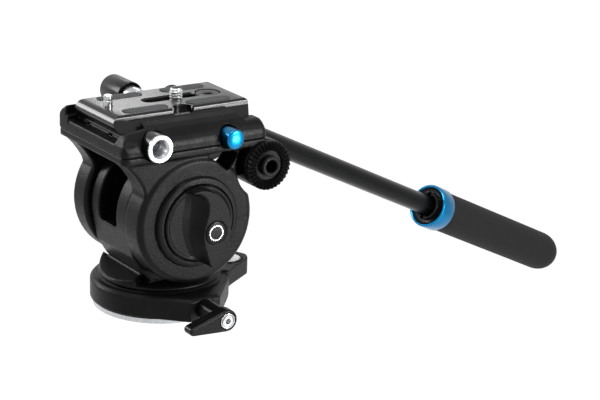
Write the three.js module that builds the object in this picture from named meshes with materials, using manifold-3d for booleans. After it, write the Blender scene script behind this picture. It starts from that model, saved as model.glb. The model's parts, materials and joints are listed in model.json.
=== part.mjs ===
import * as THREE from 'three';
import { mergeVertices } from 'three/addons/utils/BufferGeometryUtils.js';
import Module from 'manifold-3d';

// Fluid video head with a quick camera plate and a pan handle, in millimetres.
// The origin is on the pan axis at the underside of the base. The lens end points to -X,
// the operator's end to +X, the tilt lock knob to -Y, the handle to +Y and the camera to +Z.

const wasm = await Module();
wasm.setup();

// Gaps between neighbouring pieces and allowances for cutting
const clearance = 0.3;
const overrun = 1;
const weld = 0.0001;

// Numbers of sides and steps on round stretches
const largeSides = 40;
const mediumSides = 20;
const smallSides = 10;
const curveSteps = 6;

// Base that bolts to the tripod, and the spindle it carries
const base = { radius: 33.2, thickness: 2.9, chamfer: 0.5 };
const insert = { threadRadius: 4, sleeveRadius: 7, flangeRadius: 10, flangeThickness: 1.5, height: 9 };
const spindle = { radius: 10.5, height: 22.6, flangeRadius: 18.8, flangeThickness: 1.8 };
const baseScrew = { count: 3, circle: 14.6, headRadius: 2.9, shankRadius: 1.5, headHeight: 1.5, sink: 0.2 };
const frictionRing = { thickness: 1.2, outerRadius: 18.4 };
const bearing = { width: 3.6, height: 4 };
const spindleNut = { height: 4, acrossFlats: 24 };

// Pan housing: a round body with a nose for the pan lock and a tapered tab for the bubble level
const housing = { radius: 34.5, height: 12.3, topBevel: 1.5, step: 0.9, stepWidth: 2.2, edge: 0.6 };
const nose = { reach: 41.5, width: 16.7, offset: 1.15 };
const tab = { rootAngle: 29.3, endX: 43.2, endRadius: 7.4, underside: 6.9 };
const bubble = { inset: 4.2, cupRadius: 8, wall: 0.6, floor: 1, pocketDepth: 4, rim: 0.5, domeRise: 0.5 };
const panScrew = {
  count: 3, circle: 24.5, startAngle: -Math.PI / 6, headRadius: 2.6, headHeight: 2.4, shankRadius: 1.5,
  sink: 1, bite: 1.5,
};

// Pan lock lever at the end of the nose
const lever = {
  height: 9.5, hubRadius: 5.5, reach: 62, paddleLength: 20.5, paddleDrop: 2.2, tipRadius: 2.1,
  paddleThickness: 6.8, edge: 0.8, screwRadius: 2, headRadius: 3.7, headHeight: 3, proud: 0.4,
  socketRadius: 1.7, socketDepth: 1.8, screwEnd: 24,
};

// Drum that carries the tilt axle, its post and the skirt below it
const skirt = { radius: 30.5, thickness: 2.5, apronEdge: 19, apronNear: 16.4, apronFar: 24, apronRise: 3.7 };
const drum = { insideCheek: 1.8, nearFace: 19.2, farFace: 17.2, edge: 1.6 };
const boreShare = 0.5134;
const post = { footHalfWidth: 16.5, waistHalfWidth: 21 };
const drumWindow = { halfWidth: 8.5, belowAxis: 6.3, back: 9 };
const nutPocket = { radius: 14.6, headroom: 2.4 };

// Place of the post's shoulder, as shares of the drum's radius, and of its waist between skirt and shoulder
const shoulderShares = [0.8725, 0.6477];
const waistShare = 0.416;

// Tilt axle, drag and balance spring inside the drum
const axle = { radius: 6.2, boreRadius: 3.3, endSetback: 0.3 };
const lockDisc = { thickness: 2 };
const cartridge = { length: 19.7 };
const spring = { wireRadius: 0.9, turns: 4, pitch: 2.9, stepsPerTurn: 8, wireSides: 5 };

// Tilt cradle: deck, two cheeks and the bosses that carry the rosettes
const cheek = { radius: 31.6, aboveSkirt: 1.4, nearInner: 19.5, farInner: 17.5 };
const deck = { front: 39.5, rear: 40, nearFace: 34, farFace: 30, aboveCheek: 4.7, thickness: 3.6, edge: 0.9 };
const lockRing = { innerRadius: 19.2, outerRadius: 22.2, proud: 2.5, edge: 0.6 };
const sideCover = { radius: 23.5, thickness: 2.2, edge: 0.8 };
const rosette = {
  behindAxis: 39.4, belowDeck: 13.4, radius: 12.4, thickness: 3.1, toothHeight: 1.3, teeth: 30,
  grooveRadius: 7.5, grooveDepth: 1.7, hubRadius: 5.2, hubProud: 1.4, holeRadius: 3.1, holeDepth: 9,
  pocketRadius: 16.8, pocketDepth: 8,
};

// Places on the cheeks, as shares of the cheek's radius from the tilt axis
const cheekFrontShares = [
  [-1.194, 1.0], [-1.108, 0.93], [-0.99, 0.79], [-0.905, 0.67],
  [-0.88, 0.56], [-0.9, 0.437], [-0.968, 0.255], [-0.99, 0.05],
];
const cheekRearShares = [[0.86, 0.5], [0.8, 0.3]];
const windowShares = [
  [0.18, 0.985], [0.4, 1.012], [0.66, 0.97], [0.74, 0.915], [0.65, 0.845], [0.55, 0.735], [0.27, 0.925],
];

// Tilt lock knob with its raised grip
const tiltKnob = {
  radius: 18.7, thickness: 3.4, gripRise: 6.3, edge: 0.7, capRadius: 5.6, capThickness: 0.8,
  capX: 4.7, capZ: -3.5, screwRadius: 3, screwLength: 54,
};
const gripShares = [
  [0.02, 0.94], [0.36, 0.62], [0.55, 0.11], [0.62, -0.3], [0.5, -0.72], [0.17, -1.12],
  [0.02, -0.86], [-0.1, -0.5], [-0.12, -0.26], [-0.07, 0], [0.05, 0.32], [0.06, 0.62],
];

// Clamp that takes the camera plate
const clamp = {
  front: 40.2, rear: 40, nearFace: 34, farFace: 30.5, floor: 7.1, railHeight: 12.7, endHeight: 9,
  railInner: 20.4, channelHalfWidth: 22.6, railFront: 24.5, railRear: 29.4, farWall: 2.9, farHeight: 11,
};
const railShares = [[1, 0.15], [0.94, 0.4], [0.86, 0.64], [0.78, 0.84], [0.7, 1]];
const endShares = [[1, 0.14], [0.905, 0.55], [0.775, 0.84]];
const clampScrew = {
  fromCentre: 33, sideways: 11, headRadius: 3.2, headHeight: 1.9, shankRadius: 1.9, bite: 5, sink: 0.4,
};
const port = {
  x: -22.5, aboveDeck: 3.9, radius: 6.75, boreRadius: 3.95, proud: 4, depth: 6, boreDepth: 8, edge: 0.5,
};
const jaw = {
  thickness: 4.6, travel: 2, lugFront: 1, lugRear: 11, lugDepth: 5, pocketMargin: 1.2,
};
const lockBolt = { x: 6, aboveDeck: 6.8, tipRadius: 2.2, stemRadius: 5.6, tipInset: 8.4, stemLength: 19 };
const lockKnob = { radius: 7.35, start: 41, length: 19, wall: 1.1, capThickness: 9, edge: 0.8 };
const button = {
  x: 18, aboveDeck: 3.3, radius: 4.8, proud: 6, depth: 5, wall: 1, roof: 3, dome: 0.9,
  pocketRadius: 5.4, pocketDepth: 10,
};
const buttonSpring = { coilRadius: 3.1, wireRadius: 0.35, turns: 5, pitch: 1.1, stepsPerTurn: 8, wireSides: 4 };
const safetyCatch = { x: 18, y: -14.5, radius: 1.6, rise: 1.5, length: 6.4 };

// Camera plate and what it carries
const plate = {
  front: 37.6, rear: 39.9, aboveDeck: 16.4, height: 8.7, flareHalfWidth: 22, flareLip: 1.2, bandHalfWidth: 18.3,
  bandDrop: 3, topHalfWidth: 17.8, endLean: 2.3, endBandDrop: 3.2, topInset: 5.4,
  topRound: 1.7, topRoundDrop: 0.9,
};
const slot = { front: -10.5, rear: 20.6 };
const sliderPocket = { front: -17, rear: 25, halfWidth: 6.5, height: 4.1 };
const plateNotch = { front: -3, rear: 7.8, depth: 2.6, height: 3.6 };
const bushing = { x: 26, radius: 6, holeRadius: 2.8, thickness: 1.3, sink: 0.3 };
const pad = { length: 24, width: 6.2, thickness: 1.2, proud: 0.5, frontX: -16.3, rearX: 18.6, sideways: 12.4 };
const cameraScrew = {
  x: 8, radius: 3.17, rise: 4.8, headRadius: 6.1, headHeight: 2.3, tipChamfer: 0.6,
  slotWidth: 1.2, slotDepth: 1.5,
};
const slider = { halfLength: 6.2, halfWidth: 6.2, thickness: 0.8 };
const pin = {
  x: -29.5, radius: 2.2, rise: 5.5, flangeRadius: 3, flangeHeight: 1, buried: 3.3, neck: 0.4, neckHeight: 1.2,
};
const catchGroove = { front: -20, rear: 30, depth: 1.8 };

// Handle, turned down and outward from the far rosette
const handle = { dropAngle: 25.85, outAngle: 10, y: 47, aboveRosette: 9.67 };
const tube = { radius: 5.8, start: -12, wall: 1.2, end: 334 };
const socket = {
  plateThickness: 6, barrelRadius: 8.6, barrelFront: -10, barrelRear: 14, hubRadius: 7.6, hubEnd: 57, bolt: 2.4,
};
const gripRing = { start: 217, length: 12, radius: 12.9, innerRadius: 11, edge: 0.8 };
const gripBush = { lead: 1.2 };
const grip = { length: 122.7, radius: 11.9, endLength: 15, boreDepth: 106, leadRound: 0.8 };
const handleKnob = { radius: 11, length: 13, lobes: 6, lobeDepth: 1.3, edge: 1, boltStart: 25 };

// Levels and places that follow from the sizes above
const spindleFloor = base.thickness + clearance;
const housingTop = spindleFloor + housing.height;
const flangeTop = spindleFloor + spindle.flangeThickness;
const shoulder = flangeTop + frictionRing.thickness + 2 * clearance;
const skirtFloor = housingTop + clearance;
const skirtTop = skirtFloor + skirt.thickness;
const drumRadius = cheek.radius - drum.insideCheek;
const dragBore = boreShare * drumRadius;
const dragRadius = dragBore - clearance;
const spindleBore = spindle.radius + clearance;
const bearingFloor = skirtFloor;
const nutFloor = bearingFloor + bearing.height + clearance;
const tiltHeight = skirtTop + cheek.aboveSkirt + cheek.radius;
const deckRise = cheek.radius + deck.aboveCheek;
const deckTop = tiltHeight + deckRise;
const deckUnderside = deckTop - deck.thickness;
const clampFloor = deckTop + clearance;
const channelFloor = clampFloor + clamp.floor;
const plateTop = deckTop + plate.aboveDeck;
const plateUnderside = plateTop - plate.height;
const bubbleX = tab.endX - bubble.inset;
const portZ = deckTop + port.aboveDeck;
const buttonZ = deckTop + button.aboveDeck;
const lockBoltZ = deckTop + lockBolt.aboveDeck;
const rosetteUp = deckRise - rosette.belowDeck;
const rosetteZ = tiltHeight + rosetteUp;
const nearRosetteBack = -deck.nearFace - clearance;
const farRosetteBack = deck.farFace + clearance;
const socketFace = farRosetteBack + rosette.thickness + clearance;
const leverEnd = -lever.reach;

// Finishes
const finish = (color, roughness, metalness) => new THREE.MeshStandardMaterial({ color, roughness, metalness });
const castingBlack = finish(0x2b2b2d, 0.62, 0.1);
const plateBlack = finish(0x1b1b1d, 0.3, 0.6);
const plasticBlack = finish(0x17171a, 0.5, 0);
const rubberGrey = finish(0x6b6c6e, 0.85, 0);
const foamBlack = finish(0x101012, 0.95, 0);
const satinAluminium = finish(0xd7d8d9, 0.3, 0.9);
const brightSteel = finish(0xc9cacc, 0.25, 0.95);
const blueAnodised = finish(0x0f86b8, 0.25, 0.85);
const bronze = finish(0xa07a45, 0.45, 0.8);
const frictionGrey = finish(0x4a4a48, 0.8, 0.1);
const vialClear = finish(0xe8ece4, 0.1, 0);

// Closed meshes and the solids that manifold works on

function cleaned(geometry) {
  const bare = geometry.index ? geometry.toNonIndexed() : geometry.clone();
  bare.deleteAttribute('normal');
  bare.deleteAttribute('uv');
  const merged = mergeVertices(bare, weld);
  const corners = merged.index.array;
  const kept = [];
  for (let start = 0; start < corners.length; start += 3) {
    const [a, b, c] = corners.slice(start, start + 3);
    if (a !== b && b !== c && c !== a) kept.push(a, b, c);
  }
  merged.setIndex(kept);
  return merged;
}

function solid(geometry) {
  const closed = cleaned(geometry);
  const mesh = new wasm.Mesh({
    numProp: 3,
    vertProperties: new Float32Array(closed.attributes.position.array),
    triVerts: new Uint32Array(closed.index.array),
  });
  return new wasm.Manifold(mesh);
}

function surface(body) {
  const mesh = body.getMesh();
  const geometry = new THREE.BufferGeometry();
  geometry.setAttribute('position', new THREE.BufferAttribute(mesh.vertProperties, 3));
  geometry.setIndex(new THREE.BufferAttribute(mesh.triVerts, 1));
  return geometry;
}

const joined = (first, ...others) => others.reduce((body, other) => body.add(other), first);
const cut = (body, ...tools) => tools.reduce((rest, tool) => rest.subtract(tool), body);

function piece(name, body, material) {
  const geometry = cleaned(body.isBufferGeometry ? body : surface(body)).toNonIndexed();
  geometry.computeVertexNormals();
  const mesh = new THREE.Mesh(geometry, material);
  mesh.name = name;
  return mesh;
}

// Outlines pushed along an axis

function extruded(shape, length, bevel) {
  return new THREE.ExtrudeGeometry(shape, {
    depth: length - 2 * bevel,
    bevelEnabled: bevel > 0,
    bevelThickness: bevel,
    bevelSize: bevel,
    bevelOffset: -bevel,
    bevelSegments: 1,
    curveSegments: curveSteps,
  });
}

// Outline in X and Y, pushed up from low to high
function prismZ(shape, low, high, bevel = 0) {
  return extruded(shape, high - low, bevel).translate(0, 0, low + bevel);
}

// Outline in X and Z, pushed from one y to a larger one
function prismY(shape, start, end, bevel = 0) {
  return extruded(shape, end - start, bevel).rotateX(Math.PI / 2).translate(0, end - bevel, 0);
}

// Outline in Y and Z, pushed from one x to a larger one
function prismX(shape, start, end, bevel = 0) {
  const turn = new THREE.Matrix4().makeBasis(
    new THREE.Vector3(0, 1, 0),
    new THREE.Vector3(0, 0, 1),
    new THREE.Vector3(1, 0, 0),
  );
  return extruded(shape, end - start, bevel).applyMatrix4(turn).translate(start + bevel, 0, 0);
}

function polygon(points) {
  return new THREE.Shape(points.map(([across, up]) => new THREE.Vector2(across, up)));
}

function rectangle(left, right, low, high) {
  return polygon([[left, low], [right, low], [right, high], [left, high]]);
}

function box(left, right, near, far, low, high) {
  return solid(prismZ(rectangle(left, right, near, far), low, high));
}

// A slot outline with round ends, lying along X about its middle
function stadium(length, width) {
  const radius = width / 2;
  const straight = length / 2 - radius;
  const shape = new THREE.Shape();
  shape.absarc(straight, 0, radius, -Math.PI / 2, Math.PI / 2);
  shape.absarc(-straight, 0, radius, Math.PI / 2, 3 * Math.PI / 2);
  return shape;
}

// Point where a line from outside touches a circle about the origin, on the side given by +1 or -1
function tangentPoint(x, y, radius, side) {
  const angle = Math.atan2(y, x) + side * Math.acos(radius / Math.hypot(x, y));
  return [radius * Math.cos(angle), radius * Math.sin(angle)];
}

// Profiles of [radius, place] turned about an axis

function turned(profile, sides) {
  const points = profile.map(([radius, place]) => new THREE.Vector2(radius, place));
  return new THREE.LatheGeometry(points, sides);
}

const turnedZ = (profile, sides) => turned(profile, sides).rotateX(Math.PI / 2);
const turnedY = (profile, sides) => turned(profile, sides);

function ring(inner, outer, low, high) {
  return [[inner, low], [outer, low], [outer, high], [inner, high], [inner, low]];
}

function disc(radius, low, high, lowEdge = 0, highEdge = 0) {
  const points = [[0, low], [radius - lowEdge, low], [radius, low + lowEdge], [radius, high - highEdge]];
  points.push([radius - highEdge, high], [0, high]);
  return points.filter(([r, place], index) => {
    return index === 0 || r !== points[index - 1][0] || place !== points[index - 1][1];
  });
}

function rodZ(radius, low, high, sides, x = 0, y = 0) {
  return solid(turnedZ(disc(radius, low, high), sides).translate(x, y, 0));
}

function rodY(radius, start, end, sides, x = 0, z = 0) {
  return solid(turnedY(disc(radius, start, end), sides).translate(x, 0, z));
}

function hexagon(acrossFlats) {
  const corner = acrossFlats / Math.sqrt(3);
  const corners = [0, 1, 2, 3, 4, 5].map((index) => index * Math.PI / 3);
  return polygon(corners.map((angle) => [corner * Math.cos(angle), corner * Math.sin(angle)]));
}

// A round wire wound about Z, resting with its first turn at the given height
function coil({ coilRadius, wireRadius, turns, pitch, stepsPerTurn, wireSides }) {
  class Helix extends THREE.Curve {
    getPoint(share, target = new THREE.Vector3()) {
      const angle = 2 * Math.PI * turns * share;
      const height = wireRadius + pitch * turns * share;
      return target.set(coilRadius * Math.cos(angle), coilRadius * Math.sin(angle), height);
    }
  }
  const wire = polygon(Array.from({ length: wireSides }, (_, index) => {
    const angle = 2 * Math.PI * index / wireSides;
    return [wireRadius * Math.cos(angle), wireRadius * Math.sin(angle)];
  }));
  const steps = turns * stepsPerTurn;
  return new THREE.ExtrudeGeometry(wire, { steps, extrudePath: new Helix(), bevelEnabled: false });
}

// Ring of radial teeth about Y: flat back at y = 0, valleys and crests on the side of +y
function toothedRing(innerRadius, outerRadius, back, toothHeight, teeth) {
  const steps = 2 * teeth;
  const positions = [];
  const corners = [];
  for (let step = 0; step < steps; step += 1) {
    const angle = Math.PI * step / teeth;
    const front = back + (step % 2) * toothHeight;
    const section = [[innerRadius, 0], [outerRadius, 0], [outerRadius, front], [innerRadius, front]];
    for (const [radius, y] of section) {
      positions.push(radius * Math.sin(angle), y, radius * Math.cos(angle));
    }
    const here = 4 * step;
    const next = 4 * ((step + 1) % steps);
    for (let side = 0; side < 4; side += 1) {
      const after = (side + 1) % 4;
      corners.push(here + side, next + side, next + after, here + side, next + after, here + after);
    }
  }
  const geometry = new THREE.BufferGeometry();
  geometry.setAttribute('position', new THREE.BufferAttribute(new Float32Array(positions), 3));
  geometry.setIndex(corners);
  return geometry;
}

// Base and spindle

function basePlate() {
  const blank = solid(turnedZ(disc(base.radius, 0, base.thickness, base.chamfer, base.chamfer), largeSides));
  const seatTop = insert.flangeThickness + clearance;
  const flangeSeat = rodZ(insert.flangeRadius + clearance, -overrun, seatTop, mediumSides);
  const sleeveHole = rodZ(insert.sleeveRadius + clearance, 0, base.thickness + overrun, mediumSides);
  const screwHoles = baseScrewPlaces().map(([x, y]) => baseScrewBody(x, y, clearance, overrun));
  return piece('base_plate', cut(blank, flangeSeat, sleeveHole, ...screwHoles), satinAluminium);
}

function threadInsert() {
  const profile = [
    [insert.threadRadius, 0], [insert.flangeRadius, 0], [insert.flangeRadius, insert.flangeThickness],
    [insert.sleeveRadius, insert.flangeThickness], [insert.sleeveRadius, insert.height],
    [insert.threadRadius, insert.height], [insert.threadRadius, 0],
  ];
  return piece('thread_insert', turnedZ(profile, mediumSides), brightSteel);
}

function panSpindle() {
  const bore = insert.sleeveRadius + clearance;
  const profile = [
    [bore, spindleFloor], [spindle.flangeRadius, spindleFloor], [spindle.flangeRadius, flangeTop],
    [spindle.radius, flangeTop], [spindle.radius, spindleFloor + spindle.height],
    [bore, spindleFloor + spindle.height], [bore, spindleFloor],
  ];
  const holes = baseScrewPlaces().map(([x, y]) => {
    return rodZ(baseScrew.shankRadius + clearance, 0, flangeTop + overrun, smallSides, x, y);
  });
  return piece('pan_spindle', cut(solid(turnedZ(profile, mediumSides)), ...holes), satinAluminium);
}

function baseScrewPlaces() {
  return Array.from({ length: baseScrew.count }, (_, index) => {
    const angle = 2 * Math.PI * index / baseScrew.count;
    return [baseScrew.circle * Math.cos(angle), baseScrew.circle * Math.sin(angle)];
  });
}

// Countersunk screw standing head down, grown all round by a margin and lengthened by an extra
function baseScrewBody(x, y, margin = 0, extra = 0) {
  const neck = baseScrew.shankRadius + margin;
  const head = baseScrew.headRadius + margin;
  const low = baseScrew.sink;
  const rim = low + baseScrew.sink;
  const profile = [
    [0, low - extra], [head, low - extra], [head, rim], [neck, rim + baseScrew.headHeight],
    [neck, flangeTop + extra], [0, flangeTop + extra],
  ];
  return solid(turnedZ(profile, smallSides).translate(x, y, 0));
}

function baseScrews() {
  return baseScrewPlaces().map(([x, y], index) => {
    return piece(`base_screw_${index + 1}`, baseScrewBody(x, y), brightSteel);
  });
}

function panFrictionRing() {
  const low = flangeTop + clearance;
  const profile = ring(spindleBore, frictionRing.outerRadius, low, low + frictionRing.thickness);
  return piece('pan_friction_ring', turnedZ(profile, mediumSides), frictionGrey);
}

function panBearing() {
  const profile = ring(spindleBore, spindleBore + bearing.width, bearingFloor, bearingFloor + bearing.height);
  return piece('pan_bearing', turnedZ(profile, mediumSides), bronze);
}

function spindleNutPiece() {
  const blank = solid(prismZ(hexagon(spindleNut.acrossFlats), nutFloor, nutFloor + spindleNut.height));
  const thread = rodZ(spindleBore, nutFloor - overrun, nutFloor + spindleNut.height + overrun, mediumSides);
  return piece('spindle_nut', cut(blank, thread), brightSteel);
}

// Pan housing and what is fixed to it

function housingDisc() {
  const stepHeight = housingTop - housing.step;
  const wallTop = stepHeight - housing.topBevel;
  const profile = [
    [0, spindleFloor], [housing.radius - housing.edge, spindleFloor],
    [housing.radius, spindleFloor + housing.edge],
    [housing.radius, wallTop], [housing.radius - housing.topBevel, stepHeight],
    [housing.radius - housing.topBevel - housing.stepWidth, stepHeight],
    [housing.radius - housing.topBevel - housing.stepWidth - housing.step, housingTop], [0, housingTop],
  ];
  return solid(turnedZ(profile, largeSides));
}

function housingNose() {
  const left = nose.offset - nose.width / 2;
  const right = nose.offset + nose.width / 2;
  const outline = polygon([
    [left, -nose.reach], [right, -nose.reach], tangentPoint(right, -nose.reach, housing.radius, 1),
    [0, 0], tangentPoint(left, -nose.reach, housing.radius, -1),
  ]);
  return solid(prismZ(outline, spindleFloor, housingTop - housing.step, housing.edge));
}

function housingTab() {
  const turn = THREE.MathUtils.degToRad(tab.rootAngle);
  const rootX = housing.radius * Math.cos(turn);
  const rootY = housing.radius * Math.sin(turn);
  const touch = tangentPoint(rootX - tab.endX, rootY, tab.endRadius, -1);
  const angle = Math.atan2(touch[1], touch[0]);
  const outline = new THREE.Shape();
  outline.moveTo(0, 0);
  outline.lineTo(rootX, -rootY);
  outline.absarc(tab.endX, 0, tab.endRadius, -angle, angle);
  outline.lineTo(rootX, rootY);
  return solid(prismZ(outline, tab.underside, housingTop, housing.edge));
}

function panHousing() {
  const body = joined(housingDisc(), housingNose(), housingTab());
  const flangePocket = rodZ(spindle.flangeRadius + clearance, spindleFloor - overrun, shoulder, mediumSides);
  const bore = rodZ(spindleBore, spindleFloor, housingTop + overrun, mediumSides);
  const bubblePocket = rodZ(
    bubble.cupRadius + clearance, housingTop - bubble.pocketDepth, housingTop + overrun, mediumSides, bubbleX,
  );
  const lockBore = rodY(
    lever.screwRadius + clearance, -nose.reach - overrun, 0, smallSides, nose.offset, lever.height,
  );
  const screwHoles = panScrewPlaces().map(([x, y]) => panScrewBody(x, y, clearance, overrun + panScrew.sink));
  const tools = [flangePocket, bore, bubblePocket, lockBore, ...screwHoles];
  return piece('pan_housing', cut(body, ...tools), castingBlack);
}

function panScrewPlaces() {
  return Array.from({ length: panScrew.count }, (_, index) => {
    const angle = panScrew.startAngle + 2 * Math.PI * index / panScrew.count;
    return [panScrew.circle * Math.cos(angle), panScrew.circle * Math.sin(angle)];
  });
}

// Cap screw from below that holds the drum on the housing
function panScrewBody(x, y, margin = 0, extra = 0) {
  const low = spindleFloor + panScrew.sink;
  const underHead = low + panScrew.headHeight + margin;
  const top = skirtFloor + panScrew.bite + margin;
  const profile = [
    [0, low - extra], [panScrew.headRadius + margin, low - extra], [panScrew.headRadius + margin, underHead],
    [panScrew.shankRadius + margin, underHead], [panScrew.shankRadius + margin, top], [0, top],
  ];
  return solid(turnedZ(profile, smallSides).translate(x, y, 0));
}

function panScrews() {
  return panScrewPlaces().map(([x, y], index) => {
    return piece(`pan_screw_${index + 1}`, panScrewBody(x, y), brightSteel);
  });
}

function bubbleCup() {
  const low = housingTop - bubble.pocketDepth + clearance;
  const top = housingTop + bubble.rim;
  const inner = bubble.cupRadius - bubble.wall;
  const profile = [
    [0, low], [bubble.cupRadius, low], [bubble.cupRadius, top], [inner, top], [inner, low + bubble.floor],
    [0, low + bubble.floor],
  ];
  return piece('bubble_cup', turnedZ(profile, mediumSides).translate(bubbleX, 0, 0), plasticBlack);
}

function bubbleVial() {
  const low = housingTop - bubble.pocketDepth + 2 * clearance + bubble.floor;
  const radius = bubble.cupRadius - bubble.wall - clearance;
  const profile = [
    [0, low], [radius, low], [radius, housingTop], [radius / 2, housingTop + bubble.domeRise / 2],
    [0, housingTop + bubble.domeRise],
  ];
  return piece('bubble_vial', turnedZ(profile, mediumSides).translate(bubbleX, 0, 0), vialClear);
}

// Pan lock

function leverPaddle() {
  const hub = new THREE.Vector2(0, 0);
  const tip = new THREE.Vector2(-lever.paddleLength + lever.tipRadius, -lever.paddleDrop);
  const span = tip.clone().sub(hub);
  const lean = Math.acos((lever.hubRadius - lever.tipRadius) / span.length());
  const along = Math.atan2(span.y, span.x);
  const outline = new THREE.Shape();
  outline.absarc(hub.x, hub.y, lever.hubRadius, along - 2 * Math.PI + lean, along - lean);
  outline.absarc(tip.x, tip.y, lever.tipRadius, along - lean, along + lean);
  return solid(prismY(outline, leverEnd, leverEnd + lever.paddleThickness, lever.edge));
}

function panLockLever() {
  const hub = rodY(lever.hubRadius - lever.edge, leverEnd + lever.edge, -nose.reach - clearance, mediumSides);
  const boreEnd = leverEnd + lever.headHeight;
  const counterbore = rodY(lever.headRadius + clearance, leverEnd - overrun, boreEnd, smallSides);
  const hole = rodY(lever.screwRadius + clearance, leverEnd, -nose.reach + overrun, smallSides);
  const body = cut(joined(leverPaddle(), hub), counterbore, hole).translate([nose.offset, 0, lever.height]);
  return piece('pan_lock_lever', body, plasticBlack);
}

function panLockScrew() {
  const headStart = leverEnd - lever.proud;
  const headEnd = leverEnd + lever.headHeight - clearance;
  const profile = [
    [0, headStart], [lever.headRadius - lever.proud, headStart], [lever.headRadius, leverEnd],
    [lever.headRadius, headEnd], [lever.screwRadius, headEnd], [lever.screwRadius, -lever.screwEnd],
    [0, -lever.screwEnd],
  ];
  const socketEnd = headStart + lever.socketDepth;
  const socketCut = solid(prismY(hexagon(2 * lever.socketRadius), headStart - overrun, socketEnd));
  const body = cut(solid(turnedY(profile, smallSides)), socketCut).translate([nose.offset, 0, lever.height]);
  return piece('pan_lock_screw', body, brightSteel);
}

function panLockShoe() {
  const start = -lever.screwEnd + clearance;
  const end = -spindle.radius - clearance;
  const body = rodY(lever.screwRadius, start, end, smallSides, nose.offset, lever.height);
  return piece('pan_lock_shoe', body, bronze);
}

// Drum

function postOutline() {
  const foot = skirtTop - tiltHeight - skirt.thickness / 2;
  const shoulderHalfWidth = shoulderShares[0] * drumRadius;
  const shoulderUp = -shoulderShares[1] * drumRadius;
  const skirtUp = skirtTop - tiltHeight;
  const waist = skirtUp + waistShare * (shoulderUp - skirtUp);
  const left = tangentPoint(-shoulderHalfWidth, shoulderUp, drumRadius, -1);
  return polygon([
    [-post.footHalfWidth, foot], [post.footHalfWidth, foot], [post.waistHalfWidth, waist],
    [shoulderHalfWidth, shoulderUp], [-left[0], left[1]], left, [-shoulderHalfWidth, shoulderUp],
    [-post.waistHalfWidth, waist],
  ]);
}

function skirtBody() {
  const profile = disc(skirt.radius, skirtFloor, skirtTop, 0, skirt.thickness / 4);
  const plateBody = solid(turnedZ(profile, largeSides));
  const blank = rodZ(skirt.radius, skirtFloor, skirtTop + skirt.apronRise + overrun, largeSides);
  const wedge = solid(prismY(
    polygon([
      [-skirt.radius, skirtFloor], [-skirt.apronEdge, skirtFloor],
      [-skirt.apronEdge, skirtTop + skirt.apronRise], [-skirt.radius, skirtTop],
    ]),
    -skirt.apronNear,
    skirt.apronFar,
  ));
  return plateBody.add(blank.intersect(wedge));
}

function drumBody() {
  const barrelProfile = disc(drumRadius, -drum.nearFace, drum.farFace, drum.edge, drum.edge);
  const barrel = solid(turnedY(barrelProfile, largeSides)).translate([0, 0, tiltHeight]);
  const columnProfile = prismY(postOutline(), -drum.nearFace, drum.farFace, drum.edge);
  const column = solid(columnProfile).translate([0, 0, tiltHeight]);
  const boreStart = -drum.nearFace - overrun;
  const cartridgeBore = rodY(dragBore, boreStart, drum.farFace + overrun, mediumSides, 0, tiltHeight);
  const pocketRoof = nutFloor + spindleNut.height + nutPocket.headroom;
  const pocket = rodZ(nutPocket.radius, skirtFloor - overrun, pocketRoof, mediumSides);
  const opening = box(
    -drumRadius - overrun, -drumWindow.back, -drumWindow.halfWidth, drumWindow.halfWidth,
    tiltHeight - drumWindow.belowAxis, tiltHeight + drumRadius + overrun,
  );
  const screwHoles = panScrewPlaces().map(([x, y]) => panScrewBody(x, y, clearance, overrun + panScrew.sink));
  const body = joined(barrel, column, skirtBody());
  return piece('drum_body', cut(body, cartridgeBore, pocket, opening, ...screwHoles), castingBlack);
}

// Tilt axle, drag and spring

function tiltAxle() {
  const start = -deck.nearFace + axle.endSetback;
  const profile = ring(axle.boreRadius, axle.radius, start, deck.farFace - axle.endSetback);
  return piece('tilt_axle', turnedY(profile, mediumSides).translate(0, 0, tiltHeight), brightSteel);
}

function tiltLockDisc() {
  const start = -drum.nearFace;
  const profile = ring(axle.radius + clearance, dragRadius, start, start + lockDisc.thickness);
  return piece('tilt_lock_disc', turnedY(profile, mediumSides).translate(0, 0, tiltHeight), frictionGrey);
}

function dragCartridge() {
  const start = -drum.nearFace + lockDisc.thickness + clearance;
  const profile = ring(axle.radius + clearance, dragRadius, start, start + cartridge.length);
  return piece('drag_cartridge', turnedY(profile, mediumSides).translate(0, 0, tiltHeight), plasticBlack);
}

function counterbalanceSpring() {
  const start = -drum.nearFace + lockDisc.thickness + cartridge.length + 2 * clearance;
  const coilRadius = (axle.radius + dragBore) / 2;
  const body = coil({ ...spring, coilRadius }).rotateX(-Math.PI / 2).translate(0, start, tiltHeight);
  return piece('counterbalance_spring', body, brightSteel);
}

// Tilt cradle

const onCheek = ([across, up]) => [across * cheek.radius, up * cheek.radius];

function cheekWeb() {
  const rearTop = deckRise - deck.thickness;
  return polygon([
    [0, 0], ...cheekRearShares.map(onCheek).reverse(), [rosette.behindAxis, rosetteUp],
    [deck.rear - deck.edge, rearTop], [deck.rear - deck.edge, deckRise - deck.edge],
    [-deck.front + deck.edge, deckRise - deck.edge], [-deck.front + deck.edge, rearTop],
    ...cheekFrontShares.map(onCheek),
  ]);
}

function cheekBody(start, end) {
  const round = solid(turnedY(disc(cheek.radius, start, end, deck.edge, deck.edge), largeSides));
  const web = solid(prismY(cheekWeb(), start, end));
  return round.add(web);
}

function rosetteRod(radius, start, end) {
  return rodY(radius, start, end, mediumSides, rosette.behindAxis, rosetteUp);
}

function deckBody() {
  const outline = rectangle(-deck.front, deck.rear, -deck.nearFace, deck.farFace);
  return solid(prismZ(outline, deckRise - deck.thickness, deckRise, deck.edge));
}

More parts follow.
